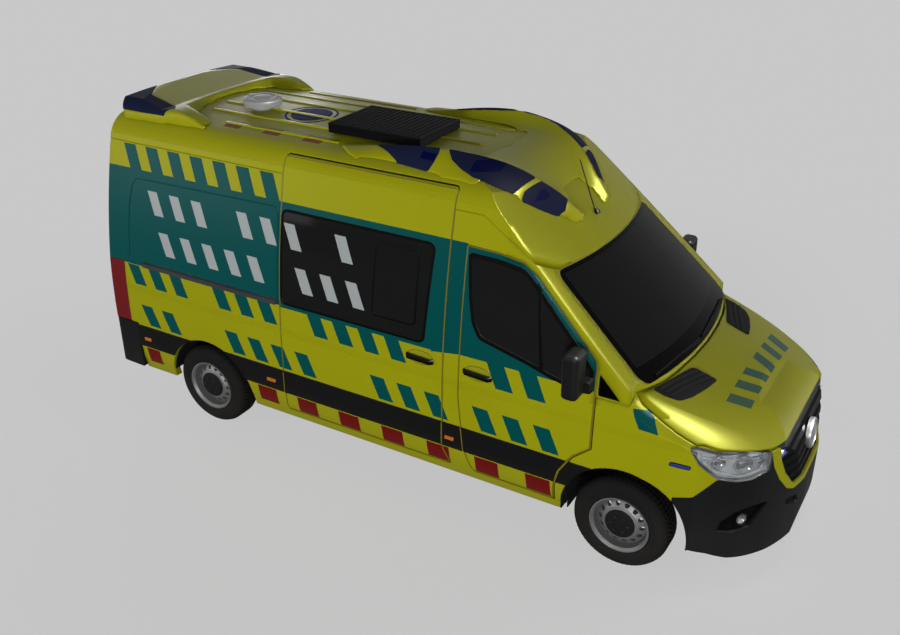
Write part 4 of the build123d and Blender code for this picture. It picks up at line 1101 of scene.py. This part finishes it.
# %% Shut lines
front_door_edge = [
    (605, 2104), (857, 2096), (1040, 2070), (1140, 2014), (1300, 1862), (1540, 1628), (1616, 1545),
    (1625, 1500), (1625, 905), (1500, 800), (1410, 655), (1374, 520), (1368, 396), (735, 396),
    (700, 440), (652, 566), (605, 1000),
]
sliding_door_edge = [(-973, 2440), (487, 2440), (487, 520), (556, 396), (-973, 396)]
strip_width = 0.0075
front_strip_width = 0.0125
edge_inset = 0.0095
edge_jobs = [
    ("front_door_right", "right", front_door_edge, "front_door_right_body", front_strip_width),
    ("front_door_left", "left", front_door_edge, "front_door_left_body", front_strip_width),
    ("sliding_door", "right", sliding_door_edge, "body", strip_width),
]
# Each strip fills a shut line with darkened yellow, painted shade for the jamb that lies in shadow inside the
# gap.
for node, way, outline, body, front_width in edge_jobs:
    loop = grown(dense(rounded(outline, 14, 3), 0.04), -edge_inset)
    bm = edge_strip(skin(node), way, loop, strip_width, front_width)
    piece(f"{node}_edge", bm, shaded_edge_paint, body)

# %% [markdown]
# ## Fairings with soft shoulders
# The roof fairings are hand-laid shells, so no edge on them is crisp. A copy of the construction's mesh
# is merged, remeshed to an even grid and relaxed, which rounds each shoulder by about the same radius.

# %% Fairings
def remeshed(name, bm, grid):
    """An object whose mesh is laid anew on an even grid."""
    form = held(name + "_form", plain_mesh(name + "_form", bm))
    remesh = form.modifiers.new("remesh", "REMESH")
    remesh.mode = "VOXEL"
    remesh.voxel_size = grid
    return form


bm = bmesh.new()
bm.from_mesh(nodes["light_fairings"].data)
bmesh.ops.remove_doubles(bm, verts=bm.verts, dist=1e-5)
form = remeshed("soft_fairings", bm, 0.0115)
relax = form.modifiers.new("relax", "SMOOTH")
relax.factor = 0.5
relax.iterations = 10
fairings = dressed("soft_fairings", baked(form), fairing_paint, "body")
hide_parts("light_fairings")
print("soft_fairings", len(fairings.data.polygons), "faces")

# %% [markdown]
# ## Behind the front wheels
# A rubber lip carries each front wheel liner down behind the tyre, and a dark panel closes the foot of
# the hinge pillar, so that no light passes under the floor through the door's gap.

# %% Liner lips and pillar feet
for side, side_name in side_names.items():
    bm = bmesh.new()
    low_y, high_y = sorted((side * 0.44, side * 0.86))
    rounded_box(bm, (1.424, low_y, 0.262), (1.434, high_y, 0.340), 0.003, steps=2)
    low_y, high_y = sorted((side * 0.888, side * 0.900))
    rounded_box(bm, (1.200, low_y, 0.325), (1.436, high_y, 0.560), 0.003, steps=2)
    piece(f"liner_lip_{side_name}", bm, black_plastic)

# %% [markdown]
# ## The windscreen's foot
# A black plastic cowl closes the gap between the glass and the bonnet, and the two wipers park on the
# glass above it.

# %% Cowl and wipers
bonnet_rear_edge = [(0, 2052), (250, 2040), (500, 2008), (648, 1975), (790, 1915), (840, 1888)]


def bonnet_edge_x(y):
    """The bonnet's rear edge at a distance from the centre line, in metres."""
    away = min(abs(y) * 1000, 839)
    for (y0, x0), (y1, x1) in zip(bonnet_rear_edge, bonnet_rear_edge[1:]):
        if y0 <= away <= y1:
            return (x0 + (x1 - x0) * (away - y0) / (y1 - y0)) / 1000
    return 1.888


screen_skin = skin("fixed_glass")
bonnet_skin = skin("bonnet")
cowl_half_width = 0.79
cowl_steps = 34
bm = bmesh.new()
rows = []
for k in range(cowl_steps + 1):
    y = cowl_half_width * (2 * k / cowl_steps - 1)
    foot, normal = land(screen_skin, "front", y, 1.386)
    edge_x = bonnet_edge_x(y)
    lip, _ = land(bonnet_skin, "top", edge_x + 0.012, y)
    back = foot - Vector((0.012, 0, 0.002))
    near = Vector((edge_x - 0.012, y, lip.z - 0.030))
    deep = Vector((edge_x + 0.022, y, lip.z - 0.042))
    row = [back, back.lerp(near, 0.45) + Vector((0, 0, 0.004)), near, deep]
    row += [p - Vector((0, 0, 0.006)) for p in reversed(row)]
    rows.append([bm.verts.new(p) for p in row])
bridge(bm, rows, around=False)
bm.faces.new(rows[0])
bm.faces.new(rows[-1][::-1])
piece("windscreen_cowl", bm, black_plastic)

blade_z = 1.402
for index, (root_y, tip_y) in enumerate(((0.62, -0.02), (-0.06, -0.70))):
    bm = bmesh.new()
    ends = ((root_y, blade_z), (tip_y, blade_z))
    blade = skin_path(screen_skin, "front", *ends, 8, lambda t: 0.009, bow=(0, 0.010))
    tube(bm, blade, 0.0075, sides=6)
    middle = blade[4]
    low, normal = land(screen_skin, "front", root_y - 0.02 * (1 if index else -1), 1.392)
    arm = [low + normal * 0.010, low.lerp(middle, 0.3) + normal * 0.020, middle + normal * 0.012]
    tube(bm, arm, 0.007, sides=8, flatten=0.6)
    piece(f"wiper_{index}", bm, matt_black)

# %% [markdown]
# ## Bonnet vents
# Two black vents lie near the bonnet's rear edge. Each is a plate that follows the bonnet, with three
# raised slats.

# %% Bonnet vents
vent_outline = [
    (1932, 781), (1983, 649), (2036, 471), (2065, 380), (2149, 368), (2240, 366), (2211, 503), (2163, 657),
    (2110, 747), (2020, 780),
]
slat_ends = [((1968, 752), (2102, 384)), ((2005, 752), (2146, 384)), ((2044, 752), (2190, 384))]
for side, side_name in side_names.items():
    flat = [(x, side * y) for x, y in vent_outline]
    bm = plate(bonnet_skin, "top", rounded(flat, 25, 3), lift=0.005, edge=0.004)
    piece(f"bonnet_vent_{side_name}", bm, matt_black, "bonnet_lid")
    bm = bmesh.new()
    for slat in slat_ends:
        ends = [(x / 1000, side * y / 1000) for x, y in slat]
        path = skin_path(bonnet_skin, "top", *ends, 10, lambda t: 0.008, bow=(-0.008, 0))
        tube(bm, path, 0.0165, sides=12, flatten=0.28)
    piece(f"bonnet_vent_slats_{side_name}", bm, slat_black, "bonnet_lid")

# %% [markdown]
# ## Headlamps, grille and badge
# Behind each clear cover stands a silver housing with three round reflectors and a light strip along its
# foot. The plain disc on the grille keeps a raised rim, and two short blue flashers sit beside it.

# %% Headlamp housings
corner_turn = radians(44.4)
headlamp_outline = [
    (-283, 1114), (-233, 1117), (-98, 1088), (53, 1068), (264, 1036), (270, 968), (266, 901), (129, 869),
    (23, 872), (-108, 902), (-225, 1003),
]


def corner_way(side):
    """Drop points square to a front corner: the first number runs along the corner, the second is height."""
    along = Vector((cos(corner_turn), -side * sin(corner_turn), 0))
    aim = Vector((sin(corner_turn), side * cos(corner_turn), 0))
    origin = Vector((2.5, side * 0.8, 0))
    return lambda a, b: (origin + along * a + Vector((0, 0, b)) + aim * 1.5, -aim)


for side, side_name in side_names.items():
    ways[f"corner_{side_name}"] = corner_way(side)
lamp_skin = skin("headlamps")
# along the corner, height and radius of each reflector, and the light strip's points, in millimetres
reflectors = [(-95, 1005, 46), (70, 975, 62), (200, 962, 34)]
light_strip = [(-190, 1015), (-95, 935), (20, 895), (130, 893), (240, 915)]
for side, side_name in side_names.items():
    way = f"corner_{side_name}"
    _, inward = ways[way](0, 0)
    loop = grown(rounded(headlamp_outline, 18), -0.008)
    bm = plate(lamp_skin, way, loop, lift=-0.062, sink=0.068, edge=0.002)
    piece(f"headlamp_housing_{side_name}", bm, lamp_silver)
    bm = bmesh.new()
    for along, height, radius in reflectors:
        hit, _ = land(lamp_skin, way, along / 1000, height / 1000)
        centre = hit + inward * 0.060
        r = radius / 1000
        bowl = [(0.0, 0.0), (r, 0.0), (r, 0.022), (r * 0.90, 0.024), (r * 0.62, 0.008), (r * 0.40, 0.005)]
        bulb = [(r * 0.36, 0.020), (0.0, 0.024)]
        spun(bm, bowl + bulb, centre, -inward, steps=32)
    piece(f"headlamp_reflectors_{side_name}", bm, mirror_silver)
    hits = [land(lamp_skin, way, along / 1000, height / 1000)[0] for along, height in light_strip]
    bm = bmesh.new()
    tube(bm, [hit + inward * 0.044 for hit in hits], 0.009, sides=8)
    piece(f"headlamp_strip_{side_name}", bm, plate_white)

# %% Badge rim, grille flashers, fog lamp rings, wing flashers
badge_centre = Vector((2.812, 0, 0.870))
badge_axis = Vector((1, 0, 0.1)).normalized()
bm = bmesh.new()
rim = [(0.084, 0.029), (0.087, 0.034), (0.095, 0.0355), (0.102, 0.033), (0.104, 0.027)]
spun(bm, rim, badge_centre, badge_axis, steps=64)
boss = [(0.0, 0.028), (0.070, 0.028), (0.058, 0.0325), (0.030, 0.0345), (0.0, 0.035)]
spun(bm, boss, badge_centre, badge_axis, steps=64)
piece("badge_rim", bm, badge_silver)

grille_skin = skin("grille", "grille_surround", "bumper_inserts")
wing_skin = skin("front_wings")
wing_flasher = [(2156, 957), (2282, 955), (2289, 977), (2163, 979)]
fog_skin = skin("fog_lamps")
fog_ring = [(0.037, -0.004), (0.040, 0.004), (0.0435, 0.006), (0.047, 0.003), (0.0475, -0.004)]
fog_bowl = [
    (0.0, -0.0215), (0.034, -0.0215), (0.034, -0.0035), (0.030, -0.004), (0.016, -0.013), (0.0, -0.015),
]
fog_spot = (0.108, 0.551)
grille_flasher = [(520, 938), (536, 958), (470, 996), (455, 978)]
for side, side_name in side_names.items():
    flat = [(side * y, z) for y, z in grille_flasher]
    bm = plate(grille_skin, "front", rounded(flat, 8, 3), lift=0.010, cell=0.03)
    piece(f"grille_flasher_{side_name}", bm, blue_lamp_lens)
    bm = plate(wing_skin, side_name, grown(rounded(wing_flasher, 9, 3), 0.006), lift=0.005, cell=0.03)
    piece(f"wing_flasher_base_{side_name}", bm, trim_black)
    loop = rounded(wing_flasher, 8, 3)
    bm = plate(wing_skin, side_name, loop, lift=0.012, sink=-0.004, edge=0.004, cell=0.03)
    piece(f"wing_flasher_{side_name}", bm, blue_lamp_lens)
    way = f"corner_{side_name}"
    _, inward = ways[way](0, 0)
    hit, _ = land(fog_skin, way, *fog_spot)
    bm = bmesh.new()
    spun(bm, fog_ring, hit, -inward, steps=40)
    piece(f"fog_lamp_ring_{side_name}", bm, trim_black)
    bm = bmesh.new()
    spun(bm, fog_bowl, hit, -inward, steps=32)
    piece(f"fog_reflector_{side_name}", bm, mirror_silver)

# %% [markdown]
# ## Handles, marker lamps, pressed panels and mirrors
# Door handles are bars that stand off a shallow cup, a darker yellow with a darker rim, as painted shade of a
# recess.
# Small amber lamps sit on the rub strip, and a raised bead is pressed round the rear side panel to stiffen
# it.

# %% Handles
def handle(name, tree, way, centre, length, body, rise, depth=0.024):
    """A pull handle: an oval cup with a rim, and a bar that bridges it. Centre and length are in mm."""
    x, z = centre
    half = length / 2
    cup = oval(x, z + rise / 2 + 6, half, 52, 40)
    bm = plate(tree, way, cup, lift=0.0018, edge=0.002)
    # The cup is a slightly darker yellow: painted shade of a recess, on a plate that stands just off the
    # skin.
    piece(name + "_cup", bm, shaded_cup_paint, body)
    bm = ring_band(tree, way, cup, outward=0.003, inward=0.003, lift=0.003)
    # The rim is darkened yellow, painted shade round the edge of the cup.
    piece(name + "_rim", bm, shaded_edge_paint, body)
    ends = (((x - half) / 1000, z / 1000), ((x + half) / 1000, (z + rise) / 1000))
    path = skin_path(tree, way, *ends, 12, lambda t: depth * min(1.0, 6.0 * sin(pi * t)) + 0.004)
    bm = bmesh.new()
    tube(bm, path, 0.012, sides=12, flatten=1.6)
    piece(name, bm, trim_black, body)


handle_length = 214
for side_name in side_names.values():
    tree = skin(f"front_door_{side_name}")
    body = f"front_door_{side_name}_body"
    handle(f"front_handle_{side_name}", tree, side_name, (764, 1218), handle_length, body, rise=-10)
handle("sliding_handle", skin("sliding_door"), "right", (297, 1218), handle_length, "body", rise=-8)

rear_skin = skin("rear_door_right")
rear_cup = box_outline(-150, -40, 1120, 1200)
bm = plate(rear_skin, "rear", rounded(rear_cup, 18, 3), lift=0.002)
piece("rear_handle_cup", bm, trim_black, "rear_door_right_body")
ends = ((-0.145, 1.165), (-0.045, 1.165))
path = skin_path(rear_skin, "rear", *ends, 8, lambda t: 0.022 * min(1.0, 2.6 * sin(pi * t)) + 0.002)
bm = bmesh.new()
tube(bm, path, 0.011, sides=10, flatten=0.8)
piece("rear_handle", bm, trim_black, "rear_door_right_body")

# %% Marker lamps and the pressed bead
# rear and front x of each lamp, their low and high z, and the bead's outline, in millimetres
marker_lamps = [(-2480, -2404), (-1137, -1048), (508, 586)]
marker_z = (622, 653)
rear_bead = [
    (-992, 1321), (-2406, 1321), (-2519, 1327), (-2559, 1368), (-2534, 1799), (-2494, 1987), (-2449, 2040),
    (-992, 2066),
]
for side, side_name in side_names.items():
    walls = [f"side_wall_{side_name}"] + (["sliding_door"] if side == -1 else [])
    tree = skin(*walls)
    for index, (x0, x1) in enumerate(marker_lamps):
        flat = box_outline(x0, x1, *marker_z)
        bm = plate(tree, side_name, rounded(flat, 8, 3), lift=0.007, cell=0.02)
        piece(f"marker_lamp_{side_name}_{index}", bm, orange_lens)
    loop = dense(rounded(rear_bead, 60), 0.06)
    bm = ring_band(tree, side_name, loop, outward=0.006, inward=0.006, lift=0.0025, sink=0.001)
    piece(f"panel_bead_{side_name}", bm, side_paint)

# %% Mirrors
mirror_y = (1032, 1142)
mirror_parts = {"upper": (1425, 1612), "lower": (1366, 1412)}
for side, side_name in side_names.items():
    tree = skin(f"door_mirror_{side_name}")
    body = f"front_door_{side_name}_body"
    for part, (z0, z1) in mirror_parts.items():
        flat = box_outline(*[side * y for y in mirror_y], z0, z1)
        bm = plate(tree, "rear", rounded(flat, 16, 3), lift=0.002, sink=0.002)
        piece(f"mirror_glass_{part}_{side_name}", bm, mirror_silver, body)

# %% [markdown]
# ## On the roof
# Shallow ribs run along the roof, and the flat cooling unit carries a row of fins across its top. A blue
# disc with a ring round it marks the roof. The vent has a raised rim. Ribs and fins are rows of copies.

# %% Ribs, fins, vent rim and disc
roof_skin = skin("roof")
# distance from the middle, rear x and front x of each pair of ribs
rib_pairs = [(0.526, -1.745, -0.665), (0.332, -2.060, 0.330), (0.127, -2.085, 0.300)]
rib_half_width = 0.016
for index, (rib_y, x0, x1) in enumerate(rib_pairs):
    bm = bmesh.new()
    high, _ = land(roof_skin, "top", (x0 + x1) / 2, rib_y)
    low_corner = (x0, -rib_y - rib_half_width, high.z - 0.004)
    high_corner = (x1, -rib_y + rib_half_width, high.z + 0.009)
    rounded_box(bm, low_corner, high_corner, 0.0045, steps=2)
    values = {"Count": 2, "Step": Vector((0, 2 * rib_y, 0))}
    repeated(f"roof_ribs_{index}", bm, row_tree, values, plain_paint)
bm = bmesh.new()
rounded_box(bm, (-0.818, -0.418, 2.605), (-0.800, 0.128, 2.616), 0.004, steps=2)
fin_gap = Vector((0.0452, 0, 0))
repeated("roof_unit_fins", bm, row_tree, {"Count": 18, "Step": fin_gap}, matt_black)
bm = bmesh.new()
frame_line = [Vector((x, y, 2.609)) for x, y in box_outline(-0.826, -0.034, -0.421, 0.131)]
for a, b in zip(frame_line, frame_line[1:] + frame_line[:1]):
    tube(bm, [a, a.lerp(b, 0.5), b], 0.008, sides=8)
piece("roof_unit_frame", bm, matt_black)
vent_centre = Vector((-1.703, -0.131, 2.6275))
vent_rim = [(0.098, -0.003), (0.100, 0.003), (0.106, 0.005), (0.124, 0.005), (0.130, 0.003), (0.132, -0.003)]
vent_cap = [(0.0, -0.002), (0.070, -0.002), (0.068, 0.004), (0.040, 0.008), (0.0, 0.009)]
bm = bmesh.new()
for profile in (vent_rim, vent_cap):
    spun(bm, profile, vent_centre, (0, 0, 1), steps=48)
piece("roof_vent_rim", bm, vent_grey)
circle = oval(-1239, -98, 165, 165, 48)
bm = plate(roof_skin, "top", circle, lift=0.0016, sink=0.001, edge=0.001)
piece("roof_disc", bm, emblem_blue)
loop = grown(circle, 0.039)
bm = ring_band(roof_skin, "top", loop, outward=0.011, inward=0.011, lift=0.0016, sink=0.001)
piece("roof_ring", bm, emblem_blue)
bm = bmesh.new()
foot, _ = land(skin("roof", "light_fairings"), "top", 1.160, 0.0)
foot_profile = [(0.0, -0.004), (0.026, -0.004), (0.024, 0.010), (0.014, 0.022), (0.0075, 0.034), (0.0, 0.036)]
spun(bm, foot_profile, foot, (-0.36, 0, 0.93), steps=24)
piece("antenna_foot", bm, trim_black)

# %% [markdown]
# ## The tail
# The rear doors turn on exposed hinges, and a dark sill panel closes the gap between their feet and the
# bumper. The bumper's step has ribs for grip, and the plate place stays blank.

# %% Hinges, sill, step ribs and plate
hinge_x = -2.7985
hinge_y = 0.790
hinge_heights = (0.80, 1.25, 1.90)
pin_half = 0.045
waist_z = 1.33
lean_in = 0.085
for side, side_name in side_names.items():
    bm = bmesh.new()
    for z in hinge_heights:
        y = side * (hinge_y - max(0.0, z - waist_z) * lean_in)
        pin = [(hinge_x, y, z + step) for step in (-pin_half, 0, pin_half)]
        tube(bm, pin, 0.0095, sides=12, up=Vector((1, 0, 0)))
    piece(f"rear_hinges_{side_name}", bm, trim_black)
bm = bmesh.new()
rounded_box(bm, (-2.729, -0.775, 0.470), (-2.721, 0.775, 0.598), 0.003, steps=2)
piece("rear_sill", bm, chassis_black)
bm = bmesh.new()
rounded_box(bm, (-2.858, -0.60, 0.5495), (-2.850, 0.60, 0.5565), 0.0025, steps=2)
step_gap = Vector((0.016, 0, 0))
repeated("step_ribs", bm, row_tree, {"Count": 4, "Step": step_gap}, trim_black)
number_plate = rounded(box_outline(-260, 260, 400, 512), 10, 3)
bm = plate(skin("rear_bumper"), "rear", number_plate, lift=0.0015, sink=0.002, edge=0.002)
piece("blank_plate", bm, plate_white)

# %% [markdown]
# ## The seats
# Each seat is a steel base, a cushion, a back and a head rest in woven cloth. The pads start as slightly
# small blocks, are blown up like cushions by a cloth simulation with pressure, and the result is kept as
# a plain mesh.

# %% Cloth for the seats
seat_cloth, tree = new_material("seat_cloth")
threads = {"Vector": object_place(tree), "Scale": 160.0, "Distortion": 0.4}
warp = put(tree, "ShaderNodeTexWave", threads, bands_direction="Y").outputs[1]
weft = put(tree, "ShaderNodeTexWave", threads, bands_direction="Z").outputs[1]
weave = calc(tree, "MULTIPLY", warp, weft)
tone = blend(tree, weave, (0.018, 0.019, 0.022, 1), (0.045, 0.047, 0.052, 1))
bump = put(tree, "ShaderNodeBump", {"Strength": 0.35, "Distance": 0.0008, "Height": weave}).outputs[0]
shader = put(tree, "ShaderNodeBsdfPrincipled", {"Base Color": tone, "Roughness": 0.88, "Normal": bump})
shader.inputs["Sheen Weight"].default_value = 0.25
surface(tree, shader)


# %% Pads
blow_frames = 16
pad_grid = 0.011


def pad(name, low, high, taper, puff):
    """One pad, filled like a cushion, as a mesh for the right-hand seat."""
    bm = bmesh.new()
    rounded_box(bm, low, high, 0.022, steps=3)
    middle = (Vector(low) + Vector(high)) / 2
    for v in bm.verts:
        t = (v.co.z - low[2]) / (high[2] - low[2])
        v.co.y = middle.y + (v.co.y - middle.y) * (1 - taper * t)
    base = baked(remeshed(name, bm, pad_grid))
    rest = [v.co.copy() for v in base.vertices]
    soft = held(name + "_soft", base)
    cloth = soft.modifiers.new("cloth", "CLOTH")
    cloth.settings.use_pressure = True
    cloth.settings.uniform_pressure_force = 4
    cloth.settings.effector_weights.gravity = 0
    for step in range(1, blow_frames + 1):
        scene.frame_set(step)
    base = baked(soft)
    scene.frame_set(1)
    for v, before in zip(base.vertices, rest):
        move = v.co - before
        v.co = before + move.normalized() * min(move.length, puff)
    return base


seat_y = 0.48
# low corner, high corner, taper and largest swelling of each pad
pads = {
    "cushion": ((0.715, -0.715, 0.790), (1.205, -0.245, 0.870), 0.0, 0.012),
    "back": ((0.695, -0.705, 0.895), (0.775, -0.255, 1.475), 0.10, 0.010),
    "head_rest": ((0.700, -0.600, 1.505), (0.770, -0.360, 1.655), 0.12, 0.008),
}
seat_pieces = []
for part, (low, high, taper, puff) in pads.items():
    base = pad(f"seat_{part}", low, high, taper, puff)
    for side, side_name in side_names.items():
        mesh = base.copy()
        if side == 1:
            for v in mesh.vertices:
                v.co.y += 2 * seat_y
        made = dressed(f"seat_{part}_{side_name}", mesh, seat_cloth, "body")
        seat_pieces.append(made)
for side, side_name in side_names.items():
    y = side * seat_y
    bm = bmesh.new()
    for post in (-0.05, 0.05):
        path = [(0.735, y + post, z) for z in (1.460, 1.490, 1.520)]
        tube(bm, path, 0.006, sides=8, up=Vector((1, 0, 0)))
    rounded_box(bm, (0.745, y - 0.215, 0.518), (1.155, y + 0.215, 0.600), 0.012, steps=2)
    rounded_box(bm, (0.770, y - 0.185, 0.596), (1.130, y + 0.185, 0.780), 0.030, steps=3)
    seat_pieces.append(piece(f"seat_base_{side_name}", bm, black_plastic))
for made in seat_pieces:
    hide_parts("cab_seats")
print("seats", len(seat_pieces), "pieces")
